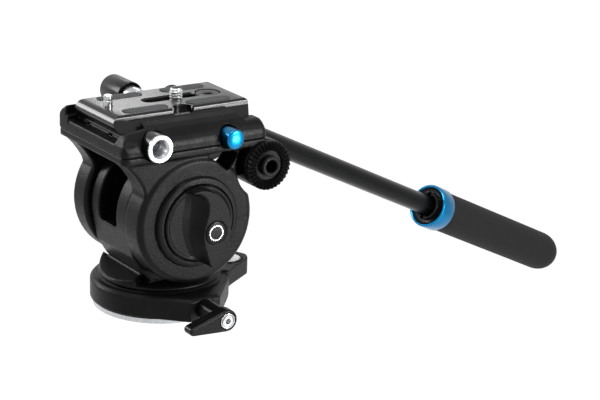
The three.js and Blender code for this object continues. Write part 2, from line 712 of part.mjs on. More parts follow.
function tiltCradle() {
  const nearCut = -deck.nearFace - overrun;
  const farCut = deck.farFace + overrun;
  const near = cheekBody(-deck.nearFace, -cheek.nearInner);
  const far = cheekBody(cheek.farInner, deck.farFace);
  const nearPocket = rosetteRod(rosette.pocketRadius, nearCut, -deck.nearFace + rosette.pocketDepth);
  const farPocket = rosetteRod(rosette.pocketRadius, deck.farFace - rosette.pocketDepth, farCut);
  const windows = solid(prismY(polygon(windowShares.map(onCheek)), nearCut, farCut));
  const bosses = [
    rosetteRod(rosette.radius, -deck.nearFace, -cheek.nearInner),
    rosetteRod(rosette.radius, cheek.farInner, deck.farFace),
  ];
  const screwBores = [
    rosetteRod(rosette.holeRadius, nearCut, -deck.nearFace + rosette.holeDepth),
    rosetteRod(rosette.holeRadius, deck.farFace - rosette.holeDepth, farCut),
  ];
  const axleBore = rodY(axle.radius + clearance, nearCut, farCut, mediumSides);
  const cheeks = cut(near.add(far), nearPocket, farPocket, windows);
  const casting = joined(cheeks, deckBody(), ...bosses).translate([0, 0, tiltHeight]);
  const holes = screwBores.concat(axleBore).map((hole) => hole.translate([0, 0, tiltHeight]));
  const clampHoles = clampScrewPlaces().map(([x, y]) => clampScrewBody(x, y, clearance, overrun));
  return piece('tilt_cradle', cut(casting, ...holes, ...clampHoles, portSeat(), buttonSeat()), castingBlack);
}

function tiltLockRing() {
  const back = -deck.nearFace - clearance;
  const front = -deck.nearFace - lockRing.proud;
  const profile = [
    [lockRing.innerRadius, front], [lockRing.outerRadius - lockRing.edge, front],
    [lockRing.outerRadius, front + lockRing.edge], [lockRing.outerRadius, back],
    [lockRing.innerRadius, back], [lockRing.innerRadius, front],
  ];
  return piece('tilt_lock_ring', turnedY(profile, largeSides).translate(0, 0, tiltHeight), castingBlack);
}

function farSideCover() {
  const start = deck.farFace + clearance;
  const profile = disc(sideCover.radius, start, start + sideCover.thickness, 0, sideCover.edge);
  return piece('far_side_cover', turnedY(profile, largeSides).translate(0, 0, tiltHeight), castingBlack);
}

// Toothed disc with its back at y = 0, its teeth toward +y and a hub that stands proud by the given height
function rosetteBody(hubProud, holeRadius) {
  const crest = rosette.thickness;
  const valley = crest - rosette.toothHeight;
  const floor = crest - rosette.grooveDepth;
  const profile = [
    [holeRadius, 0], [rosette.grooveRadius + clearance, 0], [rosette.grooveRadius + clearance, valley],
    [rosette.grooveRadius, valley], [rosette.grooveRadius, floor], [rosette.hubRadius, floor],
    [rosette.hubRadius, crest + hubProud], [holeRadius, crest + hubProud], [holeRadius, 0],
  ];
  const teeth = toothedRing(rosette.grooveRadius, rosette.radius, valley, rosette.toothHeight, rosette.teeth);
  return solid(turnedY(profile, mediumSides)).add(solid(teeth));
}

function nearRosette() {
  const body = rosetteBody(rosette.hubProud, rosette.holeRadius).rotate([180, 0, 0]);
  return piece('near_rosette', body.translate([rosette.behindAxis, nearRosetteBack, rosetteZ]), castingBlack);
}

function farRosette() {
  const body = rosetteBody(0, rosette.holeRadius);
  return piece('far_rosette', body.translate([rosette.behindAxis, farRosetteBack, rosetteZ]), castingBlack);
}

// Tilt lock knob

function tiltKnobBack() {
  return -deck.nearFace - clearance;
}

function tiltLockKnob() {
  const back = tiltKnobBack();
  const face = back - tiltKnob.thickness;
  const round = solid(turnedY(disc(tiltKnob.radius, face, back, tiltKnob.edge, 0), largeSides));
  const points = gripShares.map(([across, up]) => {
    return new THREE.Vector2(across, up).multiplyScalar(tiltKnob.radius);
  });
  const curve = new THREE.SplineCurve([...points, points[0]]);
  const outline = new THREE.Shape(curve.getPoints(3 * points.length).slice(1));
  const gripBody = solid(prismY(outline, face - tiltKnob.gripRise, face + tiltKnob.edge, tiltKnob.edge));
  const seat = rodY(
    tiltKnob.capRadius + clearance, face - tiltKnob.gripRise - overrun,
    face - tiltKnob.gripRise + tiltKnob.capThickness, mediumSides, tiltKnob.capX, tiltKnob.capZ,
  );
  const body = cut(round.add(gripBody), seat).translate([0, 0, tiltHeight]);
  return piece('tilt_lock_knob', body, castingBlack);
}

function tiltKnobCap() {
  const seat = tiltKnobBack() - tiltKnob.thickness - tiltKnob.gripRise + tiltKnob.capThickness - clearance;
  const profile = disc(tiltKnob.capRadius, seat - tiltKnob.capThickness, seat, tiltKnob.capThickness / 2, 0);
  const body = turnedY(profile, mediumSides).translate(tiltKnob.capX, 0, tiltHeight + tiltKnob.capZ);
  return piece('tilt_knob_cap', body, satinAluminium);
}

function tiltLockScrew() {
  const start = tiltKnobBack() + clearance;
  const body = rodY(tiltKnob.screwRadius, start, start + tiltKnob.screwLength, smallSides, 0, tiltHeight);
  return piece('tilt_lock_screw', body, brightSteel);
}

// Clamp

const onWall = (height) => ([across, up]) => [-across * clamp.nearFace, clampFloor + up * height];

function clampMiddle() {
  const railTop = clampFloor + clamp.railHeight;
  const lip = plateUnderside + plate.flareLip;
  const outline = polygon([
    [clamp.farFace, clampFloor], [clamp.farFace, clampFloor + clamp.farHeight],
    [clamp.farFace - clamp.farWall, clampFloor + clamp.farHeight],
    [clamp.farFace - clamp.farWall, channelFloor],
    [-clamp.channelHalfWidth, channelFloor], [-clamp.channelHalfWidth, lip], [-clamp.railInner, railTop],
    ...railShares.map(onWall(clamp.railHeight)).reverse(), [-clamp.nearFace, clampFloor],
  ]);
  return solid(prismX(outline, -clamp.railFront, clamp.railRear));
}

function clampEnds() {
  const endTop = clampFloor + clamp.endHeight;
  const outline = polygon([
    [clamp.farFace, clampFloor], [clamp.farFace, endTop], [clamp.channelHalfWidth + clearance, endTop],
    [clamp.channelHalfWidth, channelFloor], [-clamp.channelHalfWidth, channelFloor],
    [-clamp.channelHalfWidth, endTop],
    ...endShares.map(onWall(clamp.endHeight)).reverse(), [-clamp.nearFace, clampFloor],
  ]);
  const whole = solid(prismX(outline, -clamp.front, clamp.rear));
  const farSlot = box(
    -clamp.railFront, clamp.railRear, clamp.channelHalfWidth - overrun, clamp.farFace + overrun,
    channelFloor, endTop + overrun,
  );
  return whole.subtract(farSlot);
}

function clampBody() {
  const body = clampMiddle().add(clampEnds());
  const jawPocket = box(
    jaw.lugFront - jaw.pocketMargin, jaw.lugRear + jaw.pocketMargin, clamp.farFace - clamp.farWall - jawSpan(),
    clamp.farFace - clamp.farWall, channelFloor - jaw.lugDepth - clearance, channelFloor + overrun,
  );
  const boltHole = rodY(
    lockBolt.tipRadius + clearance, clamp.farFace - lockBolt.tipInset - clearance, clamp.farFace + overrun,
    smallSides, lockBolt.x, lockBoltZ,
  );
  const catchHole = rodZ(
    safetyCatch.radius + clearance, clampFloor - overrun, channelFloor + overrun, smallSides,
    safetyCatch.x, safetyCatch.y,
  );
  const screwHoles = clampScrewPlaces().map(([x, y]) => clampScrewBody(x, y, clearance, 0));
  const seats = [portSeat(), buttonSeat(), jawPocket, boltHole, catchHole];
  return piece('clamp_body', cut(body, ...seats, ...screwHoles), castingBlack);
}

function clampScrewPlaces() {
  const signs = [-1, 1];
  return signs.flatMap((end) => signs.map((side) => [end * clampScrew.fromCentre, side * clampScrew.sideways]));
}

// Countersunk screw from under the deck into the clamp
function clampScrewBody(x, y, margin = 0, extra = 0) {
  const low = deckUnderside + clampScrew.sink;
  const head = clampScrew.headRadius + margin;
  const neck = clampScrew.shankRadius + margin;
  const profile = [
    [0, low - extra], [head, low - extra], [head, low], [neck, low + clampScrew.headHeight],
    [neck, clampFloor + clampScrew.bite + margin], [0, clampFloor + clampScrew.bite + margin],
  ];
  const points = extra > 0 ? profile : profile.filter((_, index) => index !== 1);
  return solid(turnedZ(points, smallSides).translate(x, y, 0));
}

function clampScrews() {
  return clampScrewPlaces().map(([x, y], index) => {
    return piece(`clamp_screw_${index + 1}`, clampScrewBody(x, y), brightSteel);
  });
}

function portSeat() {
  const start = -clamp.nearFace - overrun;
  const end = -clamp.nearFace + port.depth + clearance;
  return rodY(port.radius + clearance, start, end, mediumSides, port.x, portZ);
}

function accessoryPort() {
  const face = -clamp.nearFace - port.proud;
  const back = -clamp.nearFace + port.depth;
  const blank = solid(turnedY(disc(port.radius, face, back, port.edge, 0), mediumSides));
  const bore = rodY(port.boreRadius, face - overrun, face + port.boreDepth, mediumSides);
  return piece('accessory_port', cut(blank, bore).translate([port.x, 0, portZ]), satinAluminium);
}

// Camera plate jaw and its lock

function jawSpan() {
  return jaw.thickness + jaw.travel + 2 * clearance;
}

function clampJaw() {
  const outer = clamp.farFace - clamp.farWall - jaw.travel - clearance;
  const inner = outer - jaw.thickness;
  const low = channelFloor + clearance;
  const lip = plateUnderside + plate.flareLip;
  const railTop = clampFloor + clamp.railHeight;
  const outline = polygon([
    [plate.flareHalfWidth + clearance, low], [outer, low], [outer, railTop], [inner, railTop],
    [plate.flareHalfWidth + clearance, lip],
  ]);
  const bar = solid(prismX(outline, -clamp.railFront + clearance, clamp.railRear - clearance));
  const lug = box(
    jaw.lugFront, jaw.lugRear, plate.flareHalfWidth + clearance, outer,
    channelFloor - jaw.lugDepth, low + overrun,
  );
  const hole = rodY(
    lockBolt.tipRadius + clearance, inner - overrun, outer + overrun, smallSides, lockBolt.x, lockBoltZ,
  );
  return piece('clamp_jaw', cut(bar.add(lug), hole), plateBlack);
}

function plateLockBolt() {
  const tip = clamp.farFace - lockBolt.tipInset;
  const seat = clamp.farFace + clearance;
  const profile = [
    [0, tip], [lockBolt.tipRadius, tip], [lockBolt.tipRadius, seat], [lockBolt.stemRadius, seat],
    [lockBolt.stemRadius, seat + lockBolt.stemLength], [0, seat + lockBolt.stemLength],
  ];
  const body = turnedY(profile, smallSides).translate(lockBolt.x, 0, lockBoltZ);
  return piece('plate_lock_bolt', body, satinAluminium);
}

function plateLockKnob() {
  const end = lockKnob.start + lockKnob.length;
  const inner = lockKnob.radius - lockKnob.wall;
  const capStart = clamp.farFace + 2 * clearance + lockBolt.stemLength;
  const hub = lockBolt.stemRadius + clearance;
  const profile = [
    [0, capStart], [hub, capStart], [hub, end - lockKnob.capThickness - clearance],
    [inner, end - lockKnob.capThickness - clearance], [inner, lockKnob.start],
    [lockKnob.radius, lockKnob.start], [lockKnob.radius, end - lockKnob.edge],
    [lockKnob.radius - lockKnob.edge, end], [0, end],
  ];
  const body = turnedY(profile, mediumSides).translate(lockBolt.x, 0, lockBoltZ);
  return piece('plate_lock_knob', body, plasticBlack);
}

// Safety button and the catch it draws down

function buttonSeat() {
  const start = -clamp.nearFace - overrun;
  return rodY(button.pocketRadius, start, -clamp.nearFace + button.pocketDepth, mediumSides, button.x, buttonZ);
}

function safetyButton() {
  const face = -clamp.nearFace - button.proud;
  const back = -clamp.nearFace + button.depth;
  const inner = button.radius - button.wall;
  const profile = [
    [0, face], [button.radius / 2, face + button.dome / 4],
    [button.radius - button.dome / 3, face + button.dome],
    [button.radius, face + 2 * button.dome], [button.radius, back], [inner, back], [inner, face + button.roof],
    [0, face + button.roof],
  ];
  return piece('safety_button', turnedY(profile, mediumSides).translate(button.x, 0, buttonZ), blueAnodised);
}

function buttonSpringPiece() {
  const end = -clamp.nearFace + button.pocketDepth - clearance;
  const body = coil(buttonSpring).rotateX(Math.PI / 2).translate(button.x, end, buttonZ);
  return piece('button_spring', body, brightSteel);
}

function safetyCatchPin() {
  const top = channelFloor + safetyCatch.rise;
  const profile = disc(safetyCatch.radius, top - safetyCatch.length, top, 0, safetyCatch.radius / 4);
  const body = turnedZ(profile, smallSides).translate(safetyCatch.x, safetyCatch.y, 0);
  return piece('safety_catch', body, brightSteel);
}

// Camera plate

function plateSection() {
  const lip = plateUnderside + plate.flareLip;
  const band = plateTop - plate.bandDrop;
  const bandTop = plateTop - plate.topRoundDrop;
  const half = [
    [plate.flareHalfWidth, plateUnderside], [plate.flareHalfWidth, lip], [plate.bandHalfWidth, band],
    [plate.bandHalfWidth, bandTop], [plate.topHalfWidth, plateTop],
  ];
  return polygon([...half, ...half.map(([y, z]) => [-y, z]).reverse()]);
}

function plateSide() {
  const band = plateTop - plate.endBandDrop;
  const round = plateTop - plate.topRoundDrop;
  return polygon([
    [-plate.front + plate.endLean, plateUnderside], [plate.rear - plate.endLean, plateUnderside],
    [plate.rear, band], [plate.rear - plate.topRound, round], [plate.rear - plate.topInset, plateTop],
    [-plate.front + plate.topInset, plateTop], [-plate.front + plate.topRound, round], [-plate.front, band],
  ]);
}

function padPlaces() {
  return [pad.frontX, pad.rearX].flatMap((x) => [-pad.sideways, pad.sideways].map((y) => [x, y]));
}

function padBody(low, high, margin) {
  return solid(prismZ(stadium(pad.length + 2 * margin, pad.width + 2 * margin), low, high));
}

function cameraPlate() {
  const long = solid(prismX(plateSection(), -plate.front, plate.rear));
  const wide = solid(prismY(plateSide(), -plate.flareHalfWidth - overrun, plate.flareHalfWidth + overrun));
  const slotWidth = 2 * (cameraScrew.radius + clearance);
  const slotCut = solid(
    prismZ(stadium(slot.rear - slot.front, slotWidth), plateUnderside - overrun, plateTop + overrun)
      .translate((slot.front + slot.rear) / 2, 0, 0),
  );
  const sliderCut = box(
    sliderPocket.front, sliderPocket.rear, -sliderPocket.halfWidth, sliderPocket.halfWidth,
    plateUnderside - overrun, plateUnderside + sliderPocket.height,
  );
  const notchCut = box(
    plateNotch.front, plateNotch.rear, -plate.bandHalfWidth - overrun, -plate.bandHalfWidth + plateNotch.depth,
    plateTop - plateNotch.height, plateTop + overrun,
  );
  const bushingCut = rodZ(
    bushing.radius + clearance, plateTop - bushing.sink - bushing.thickness - clearance, plateTop + overrun,
    mediumSides, bushing.x,
  );
  const pinHole = rodZ(pin.radius + clearance, plateUnderside - overrun, plateTop + overrun, smallSides, pin.x);
  const flangeTopZ = plateTop - pin.buried + pin.flangeHeight + clearance;
  const flangeWide = pin.flangeRadius + clearance;
  const flangeHole = rodZ(flangeWide, plateUnderside - overrun, flangeTopZ, smallSides, pin.x);
  const grooveHalf = safetyCatch.radius + clearance;
  const groove = box(
    catchGroove.front, catchGroove.rear, safetyCatch.y - grooveHalf, safetyCatch.y + grooveHalf,
    plateUnderside - overrun, plateUnderside + catchGroove.depth,
  );
  const padSeat = plateTop - pad.thickness + pad.proud - clearance;
  const padCuts = padPlaces().map(([x, y]) => {
    return padBody(padSeat, plateTop + overrun, clearance).translate([x, y, 0]);
  });
  const tools = [slotCut, sliderCut, notchCut, bushingCut, pinHole, flangeHole, groove, ...padCuts];
  return piece('camera_plate', cut(long.intersect(wide), ...tools), plateBlack);
}

function platePads() {
  const high = plateTop + pad.proud;
  return padPlaces().map(([x, y], index) => {
    const body = padBody(high - pad.thickness, high, 0).translate([x, y, 0]);
    return piece(`plate_pad_${index + 1}`, body, rubberGrey);
  });
}

function plateBushing() {
  const top = plateTop - bushing.sink;
  const profile = ring(bushing.holeRadius, bushing.radius, top - bushing.thickness, top);
  return piece('plate_bushing', turnedZ(profile, mediumSides).translate(bushing.x, 0, 0), rubberGrey);
}

function screwHeadTop() {
  return plateUnderside + clearance + cameraScrew.headHeight;
}

function cameraScrewPiece() {
  const low = plateUnderside + clearance;
  const top = plateTop + cameraScrew.rise;
  const profile = [
    [0, low], [cameraScrew.headRadius, low], [cameraScrew.headRadius, screwHeadTop()],
    [cameraScrew.radius, screwHeadTop()], [cameraScrew.radius, top - cameraScrew.tipChamfer],
    [cameraScrew.radius - cameraScrew.tipChamfer, top], [0, top],
  ];
  const half = cameraScrew.slotWidth / 2;
  const reach = cameraScrew.headRadius + overrun;
  const coinSlot = box(-reach, reach, -half, half, low - overrun, low + cameraScrew.slotDepth);
  const body = cut(solid(turnedZ(profile, smallSides)), coinSlot).translate([cameraScrew.x, 0, 0]);
  return piece('camera_screw', body, brightSteel);
}

function screwSlider() {
  const low = screwHeadTop() + clearance;
  const outline = rectangle(-slider.halfLength, slider.halfLength, -slider.halfWidth, slider.halfWidth);
  const blank = solid(prismZ(outline, low, low + slider.thickness));
  const holeTop = low + slider.thickness + overrun;
  const hole = rodZ(cameraScrew.radius + clearance, low - overrun, holeTop, smallSides);
  return piece('screw_slider', cut(blank, hole).translate([cameraScrew.x, 0, 0]), brightSteel);
}

function videoPin() {
  const low = plateTop - pin.buried;
  const flange = low + pin.flangeHeight;
  const top = plateTop + pin.rise;
  const neckLow = plateTop + pin.rise / 2;
  const slim = pin.radius - pin.neck;
  const profile = [
    [0, low], [pin.flangeRadius, low], [pin.flangeRadius, flange], [pin.radius, flange], [pin.radius, neckLow],
    [slim, neckLow + pin.neck], [slim, neckLow + pin.neckHeight],
    [pin.radius, neckLow + pin.neckHeight + pin.neck], [pin.radius, top - pin.neck], [slim, top], [0, top],
  ];
  return piece('video_pin', turnedZ(profile, smallSides).translate(pin.x, 0, 0), brightSteel);
}

// Handle: the pieces are drawn along Y from the clamp centre, then turned down and outward

function alongHandle(geometryOrSolid) {
  const body = geometryOrSolid.isBufferGeometry ? solid(geometryOrSolid) : geometryOrSolid;
  const lowered = body.rotate([0, 0, -90]).rotate([0, handle.dropAngle, 0]);
  const place = [rosette.behindAxis, handle.y, rosetteZ + handle.aboveRosette];
  return lowered.rotate([0, 0, handle.outAngle]).translate(place);
}

function handleSocket() {
  const teeth = rosetteBody(0, socket.bolt + clearance);
  const farTeeth = teeth.rotate([180, 0, 0]).translate([0, rosette.thickness, 0]);
  const plateStart = rosette.thickness;
  const rim = solid(turnedY(
    disc(rosette.radius, plateStart - overrun / 4, plateStart + socket.plateThickness, 0, overrun), mediumSides,
  ));
  const hub = solid(turnedY(disc(socket.hubRadius, plateStart, socket.hubEnd - socketFace), mediumSides));
  const atRosette = joined(farTeeth, rim, hub).translate([rosette.behindAxis, socketFace, rosetteZ]);
  const barrelProfile = disc(socket.barrelRadius, socket.barrelFront, socket.barrelRear);
  const barrel = alongHandle(turnedY(barrelProfile, mediumSides));
  const saddle = box(
    -socket.hubRadius, socket.hubRadius, handle.y - socket.hubRadius, handle.y + socket.hubRadius,
    0, handle.aboveRosette,
  ).translate([rosette.behindAxis, 0, rosetteZ]);
  const boreStart = socket.barrelFront - tube.radius;
  const boreProfile = disc(tube.radius + clearance, boreStart, socket.barrelRear + tube.radius);
  const tubeBore = alongHandle(turnedY(boreProfile, mediumSides));
  const boltBore = rosetteRod(socket.bolt + clearance, socketFace - overrun, socket.hubEnd + overrun)
    .translate([0, 0, tiltHeight]);
  return piece('handle_socket', cut(joined(atRosette, barrel, saddle), tubeBore, boltBore), castingBlack);
}

function handleTube() {
  const profile = ring(tube.radius - tube.wall, tube.radius, tube.start, tube.end);
  return piece('handle_tube', alongHandle(turnedY(profile, mediumSides)), plasticBlack);
}

function gripRingPiece() {
  const end = gripRing.start + gripRing.length;
  const profile = [
    [gripRing.innerRadius, gripRing.start], [gripRing.radius - gripRing.edge, gripRing.start],
    [gripRing.radius, gripRing.start + gripRing.edge], [gripRing.radius, end - gripRing.edge],
    [gripRing.radius - gripRing.edge, end], [gripRing.innerRadius, end], [gripRing.innerRadius, gripRing.start],
  ];
  return piece('grip_ring', alongHandle(turnedY(profile, mediumSides)), blueAnodised);
}

function gripBushPiece() {
  const end = gripRing.start + gripRing.length;
  const start = gripRing.start - gripBush.lead;
  const profile = ring(tube.radius + clearance, gripRing.innerRadius - clearance, start, end);
  return piece('grip_bush', alongHandle(turnedY(profile, mediumSides)), plasticBlack);
}

function handleGrip() {
  const start = gripRing.start + gripRing.length + clearance;
  const end = start + grip.length;
  const bore = tube.radius + clearance;
  const profile = [[bore, start], [grip.radius - grip.leadRound, start], [grip.radius, start + grip.leadRound]];
  for (let step = 0; step < curveSteps; step += 1) {
    const angle = Math.PI / 2 * step / curveSteps;
    profile.push([grip.radius * Math.cos(angle), end - grip.endLength * (1 - Math.sin(angle))]);
  }
  profile.push([0, end], [0, start + grip.boreDepth], [bore, start + grip.boreDepth], [bore, start]);
  return piece('handle_grip', alongHandle(turnedY(profile, mediumSides)), foamBlack);
}

function lobedShape(radius, lobes, depth) {
  const steps = lobes * curveSteps;
  const points = Array.from({ length: steps }, (_, index) => {
    const angle = 2 * Math.PI * index / steps;
    const reach = radius - depth * (1 - Math.cos(lobes * angle)) / 2;
    return [reach * Math.cos(angle), reach * Math.sin(angle)];
  });
  return polygon(points);
}

function handleClampKnob() {
  const start = socket.hubEnd + clearance;
  const shape = lobedShape(handleKnob.radius, handleKnob.lobes, handleKnob.lobeDepth);
  const blank = solid(prismY(shape, start, start + handleKnob.length, handleKnob.edge));
  const bore = rodY(socket.bolt + clearance, start - overrun, start + handleKnob.length / 2, smallSides);
  const body = cut(blank, bore).translate([rosette.behindAxis, 0, rosetteZ]);
  return piece('handle_clamp_knob', body, plasticBlack);
}

function handleClampBolt() {
  const end = socket.hubEnd + handleKnob.length / 2;
  const body = rodY(socket.bolt, handleKnob.boltStart, end, smallSides, rosette.behindAxis, rosetteZ);
  return piece('handle_clamp_bolt', body, brightSteel);
}

// Whole head, in groups that move together

function group(...meshes) {
  const members = new THREE.Group();
  members.add(...meshes.flat());
  return members;
}

const fixedBase = group(basePlate(), threadInsert(), panSpindle(), baseScrews(), spindleNutPiece());
const panLock = group(panLockLever(), panLockScrew());
const panning = group(
  panFrictionRing(), panBearing(), panHousing(), drumBody(), panScrews(), bubbleCup(), bubbleVial(),
  panLockShoe(), dragCartridge(), counterbalanceSpring(), panLock,
);
const tiltLock = group(tiltLockKnob(), tiltKnobCap(), tiltLockScrew());
const plateGroup = group(
  cameraPlate(), platePads(), plateBushing(), group(screwSlider(), cameraScrewPiece()), group(videoPin()),
);
const plateLock = group(group(plateLockBolt(), plateLockKnob()), group(clampJaw()));
const safety = group(group(safetyButton()), group(safetyCatchPin()));
const handleGroup = group(
  handleSocket(), handleTube(), gripBushPiece(), gripRingPiece(), handleGrip(),
  group(handleClampKnob(), handleClampBolt()),
);
const tilting = group(
  tiltAxle(), tiltLockDisc(), tiltCradle(), tiltLockRing(), farSideCover(), nearRosette(), farRosette(),
  clampBody(), clampScrews(), accessoryPort(), buttonSpringPiece(), tiltLock, plateGroup, plateLock, safety,
  handleGroup,
);

const videoHead = group(fixedBase, group(panning, tilting));

export default videoHead;
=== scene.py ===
import json
import math
import bmesh
import bpy
from mathutils import Matrix, Vector


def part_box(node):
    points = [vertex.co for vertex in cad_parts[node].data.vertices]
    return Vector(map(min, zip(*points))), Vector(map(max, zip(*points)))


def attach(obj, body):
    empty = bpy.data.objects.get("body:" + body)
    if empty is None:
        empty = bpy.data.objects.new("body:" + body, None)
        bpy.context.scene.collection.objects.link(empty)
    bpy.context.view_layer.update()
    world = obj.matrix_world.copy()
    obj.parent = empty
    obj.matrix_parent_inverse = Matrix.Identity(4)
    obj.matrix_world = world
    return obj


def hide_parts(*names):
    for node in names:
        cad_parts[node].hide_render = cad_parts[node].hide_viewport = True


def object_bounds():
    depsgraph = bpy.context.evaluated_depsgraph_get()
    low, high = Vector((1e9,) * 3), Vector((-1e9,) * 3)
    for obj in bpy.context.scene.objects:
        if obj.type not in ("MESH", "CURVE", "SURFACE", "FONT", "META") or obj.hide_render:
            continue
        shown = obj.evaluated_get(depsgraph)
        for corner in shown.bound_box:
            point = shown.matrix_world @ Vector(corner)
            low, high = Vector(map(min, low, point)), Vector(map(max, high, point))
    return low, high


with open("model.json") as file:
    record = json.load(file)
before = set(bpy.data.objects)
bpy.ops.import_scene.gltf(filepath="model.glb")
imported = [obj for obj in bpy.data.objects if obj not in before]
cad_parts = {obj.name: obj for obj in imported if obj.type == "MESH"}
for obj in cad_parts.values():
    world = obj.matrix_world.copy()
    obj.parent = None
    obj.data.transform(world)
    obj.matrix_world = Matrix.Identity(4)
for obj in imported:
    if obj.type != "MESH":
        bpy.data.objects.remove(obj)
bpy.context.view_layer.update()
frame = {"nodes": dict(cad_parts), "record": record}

# Lengths below are in millimetres, and mm turns them into metres.
# The lens end points to -X, the handle to +X, the tilt knob to -Y and the camera to +Z.
mm = 0.001
print("frame loaded")

sceneData = bpy.context.scene
tiltZ = 51.3             # height of the tilt axis

# A point on each axis that several pieces share
axes = {
    "tilt": (0, 0, tiltZ), "panLock": (1.15, 0, 9.5), "level": (39.0, 0, 0), "port": (-22.5, 0, 91.5),
    "button": (18, 0, 90.9), "rosette": (39.4, 0, 74.2), "plateLock": (6, 0, 94.4), "pin": (-29.5, 0, 0),
    "insert": (26, 0, 0), "cameraScrew": (8.0, 0, 0),
}
clampScrewSpots = [(x, y, 0) for x in (-33, 33) for y in (-11, 11)]


# Node box corners in millimetres
def nodeBox(node):
    low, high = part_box(node)
    return [value / mm for value in low], [value / mm for value in high]


# Camera as fitted to the photograph
cameraView = {
    "place": (-480.7, -810.9, 361.8),
    "forward": (0.5429, 0.7803, -0.3104),
    "up": (0.1493, 0.2741, 0.9500),
    "lens": 120.89,      # focal length on a 36 mm wide sensor
    "sensor": 36.0,
    "nearest": 0.05,     # metres that the camera sees, from and to
    "farthest": 50,
}


def makeCamera():
    data = bpy.data.cameras.new("view_camera")
    data.lens = cameraView["lens"]
    data.sensor_width = cameraView["sensor"]
    data.clip_start = cameraView["nearest"]
    data.clip_end = cameraView["farthest"]
    camera = bpy.data.objects.new("view_camera", data)
    back = -Vector(cameraView["forward"]).normalized()
    right = Vector(cameraView["up"]).cross(back).normalized()
    up = back.cross(right)
    turn = Matrix((right, up, back)).transposed().to_4x4()
    camera.matrix_world = Matrix.Translation(Vector(cameraView["place"]) * mm) @ turn
    sceneData.collection.objects.link(camera)
    sceneData.camera = camera


makeCamera()
print("camera placed")


# Colours are written as sRGB hex and turned to linear here
def linear(hexColour, alpha=1.0):
    channels = [int(hexColour[start:start + 2], 16) / 255 for start in (1, 3, 5)]
    curved = [c / 12.92 if c <= 0.04045 else ((c + 0.055) / 1.055) ** 2.4 for c in channels]
    return (*curved, alpha)


def grey(value):
    return (value, value, value, 1.0)


# Adds one node, sets its sockets or properties, links its inputs, and sets the stops of a colour ramp
def addNode(tree, kind, settings=None, links=None, stops=()):
    node = tree.nodes.new(kind)
    for name, value in (settings or {}).items():
        if name in node.inputs:
            node.inputs[name].default_value = value
        else:
            setattr(node, name, value)
    for name, source in (links or {}).items():
        tree.links.new(source, node.inputs[name])
    for number, (position, colour) in enumerate(stops):
        marks = node.color_ramp.elements
        mark = marks[number] if number < 2 else marks.new(position)
        mark.position = position
        mark.color = colour
    return node


def blankMaterial(name):
    material = bpy.data.materials.new(name)
    material.use_nodes = True
    tree = material.node_tree
    tree.nodes.clear()
    place = addNode(tree, "ShaderNodeTexCoord").outputs["Object"]
    return material, tree, place


# How far each point lies from the upright line through x, y, in metres
def distanceFrom(tree, place, x, y):
    level = addNode(
        tree, "ShaderNodeMapping", {"Location": (-x, -y, 0), "Scale": (1, 1, 0)}, {"Vector": place},
    )
    length = addNode(
        tree, "ShaderNodeVectorMath", {"operation": "LENGTH"}, {"Vector": level.outputs["Vector"]},
    )
    return length.outputs["Value"]


# Grain sizes are real ones where they show. Finer ones are drawn as coarse as they need to show.

# Cast aluminium under a fine-textured black powder coat: small soft bumps that break up the light,
# a little lighter in broad patches, with a dull sheen. Its real grain is near 0.3 mm, too fine to show
powderCoat = {
    "dark": "#070708", "light": "#0f0f10", "grain": 0.8, "detail": 2.0, "grainHeight": 0.12, "relief": 0.9,
    "patch": 9.0, "smooth": 0.3, "rough": 0.5, "shader": {"IOR": 1.5, "Specular IOR Level": 0.1},
}
# Milled aluminium, black anodised: a smooth dark oxide with a clear sheen and faint milling lines
anodisedBlack = {
    "dark": "#080809", "light": "#0f0f10", "grain": 0.35, "detail": 2.0, "grainHeight": 0.004, "relief": 0.6,
    "stretch": (0.06, 1.0, 1.0), "smooth": 0.2, "rough": 0.28,
    "shader": {"IOR": 1.6, "Specular IOR Level": 0.22},
}
# Moulded glass-filled nylon: dark, slightly uneven, with a soft sheen
mouldedNylon = {
    "dark": "#09090a", "light": "#101011", "grain": 0.6, "detail": 3.0, "grainHeight": 0.012, "relief": 0.8,
    "smooth": 0.2, "rough": 0.32, "shader": {"IOR": 1.5, "Specular IOR Level": 0.12},
}
# Moulded synthetic rubber: dull grey with a faint bloom
mouldedRubber = {
    "dark": "#3c3d3e", "light": "#4a4b4c", "grain": 0.4, "detail": 3.0, "grainHeight": 0.02, "relief": 0.8,
    "smooth": 0.6, "rough": 0.8, "shader": {"IOR": 1.5, "Specular IOR Level": 0.4},
}
# Pressed friction compound: dull and gritty
frictionCompound = {
    "dark": "#3b3a38", "light": "#545250", "grain": 0.5, "detail": 3.0, "grainHeight": 0.05, "relief": 0.8,
    "smooth": 0.75, "rough": 0.95, "shader": {"IOR": 1.5, "Specular IOR Level": 0.4},
}
# Closed-cell foam sleeve: matte black with open cut cells about half a millimetre wide
closedCellFoam = {
    "dark": "#09090a", "light": "#111112", "grain": 0.55, "detail": 3.0, "grainHeight": 0.06, "relief": 0.8,
    "smooth": 0.6, "rough": 0.75, "shader": {"IOR": 1.5, "Specular IOR Level": 0.16},
}
# Turned aluminium, left bare: a bright satin with fine tool marks that stretch the highlights.
# Real tool marks on these metals are about 0.1 mm apart, too fine to show
turnedAluminium = {
    "dark": "#a6a8ab", "light": "#c0c2c4", "grain": 0.3, "detail": 2.0, "grainHeight": 0.004, "relief": 0.6,
    "stretch": (1.0, 1.0, 0.08), "smooth": 0.2, "rough": 0.34, "shader": {"Metallic": 1.0},
}
# Machined steel: a little cooler and sharper in its reflections
machinedSteel = {
    "dark": "#9c9ea0", "light": "#c0c1c2", "grain": 0.25, "detail": 2.0, "grainHeight": 0.008, "relief": 0.6,
    "stretch": (1.0, 1.0, 0.08), "smooth": 0.16, "rough": 0.3, "shader": {"Metallic": 1.0},
}
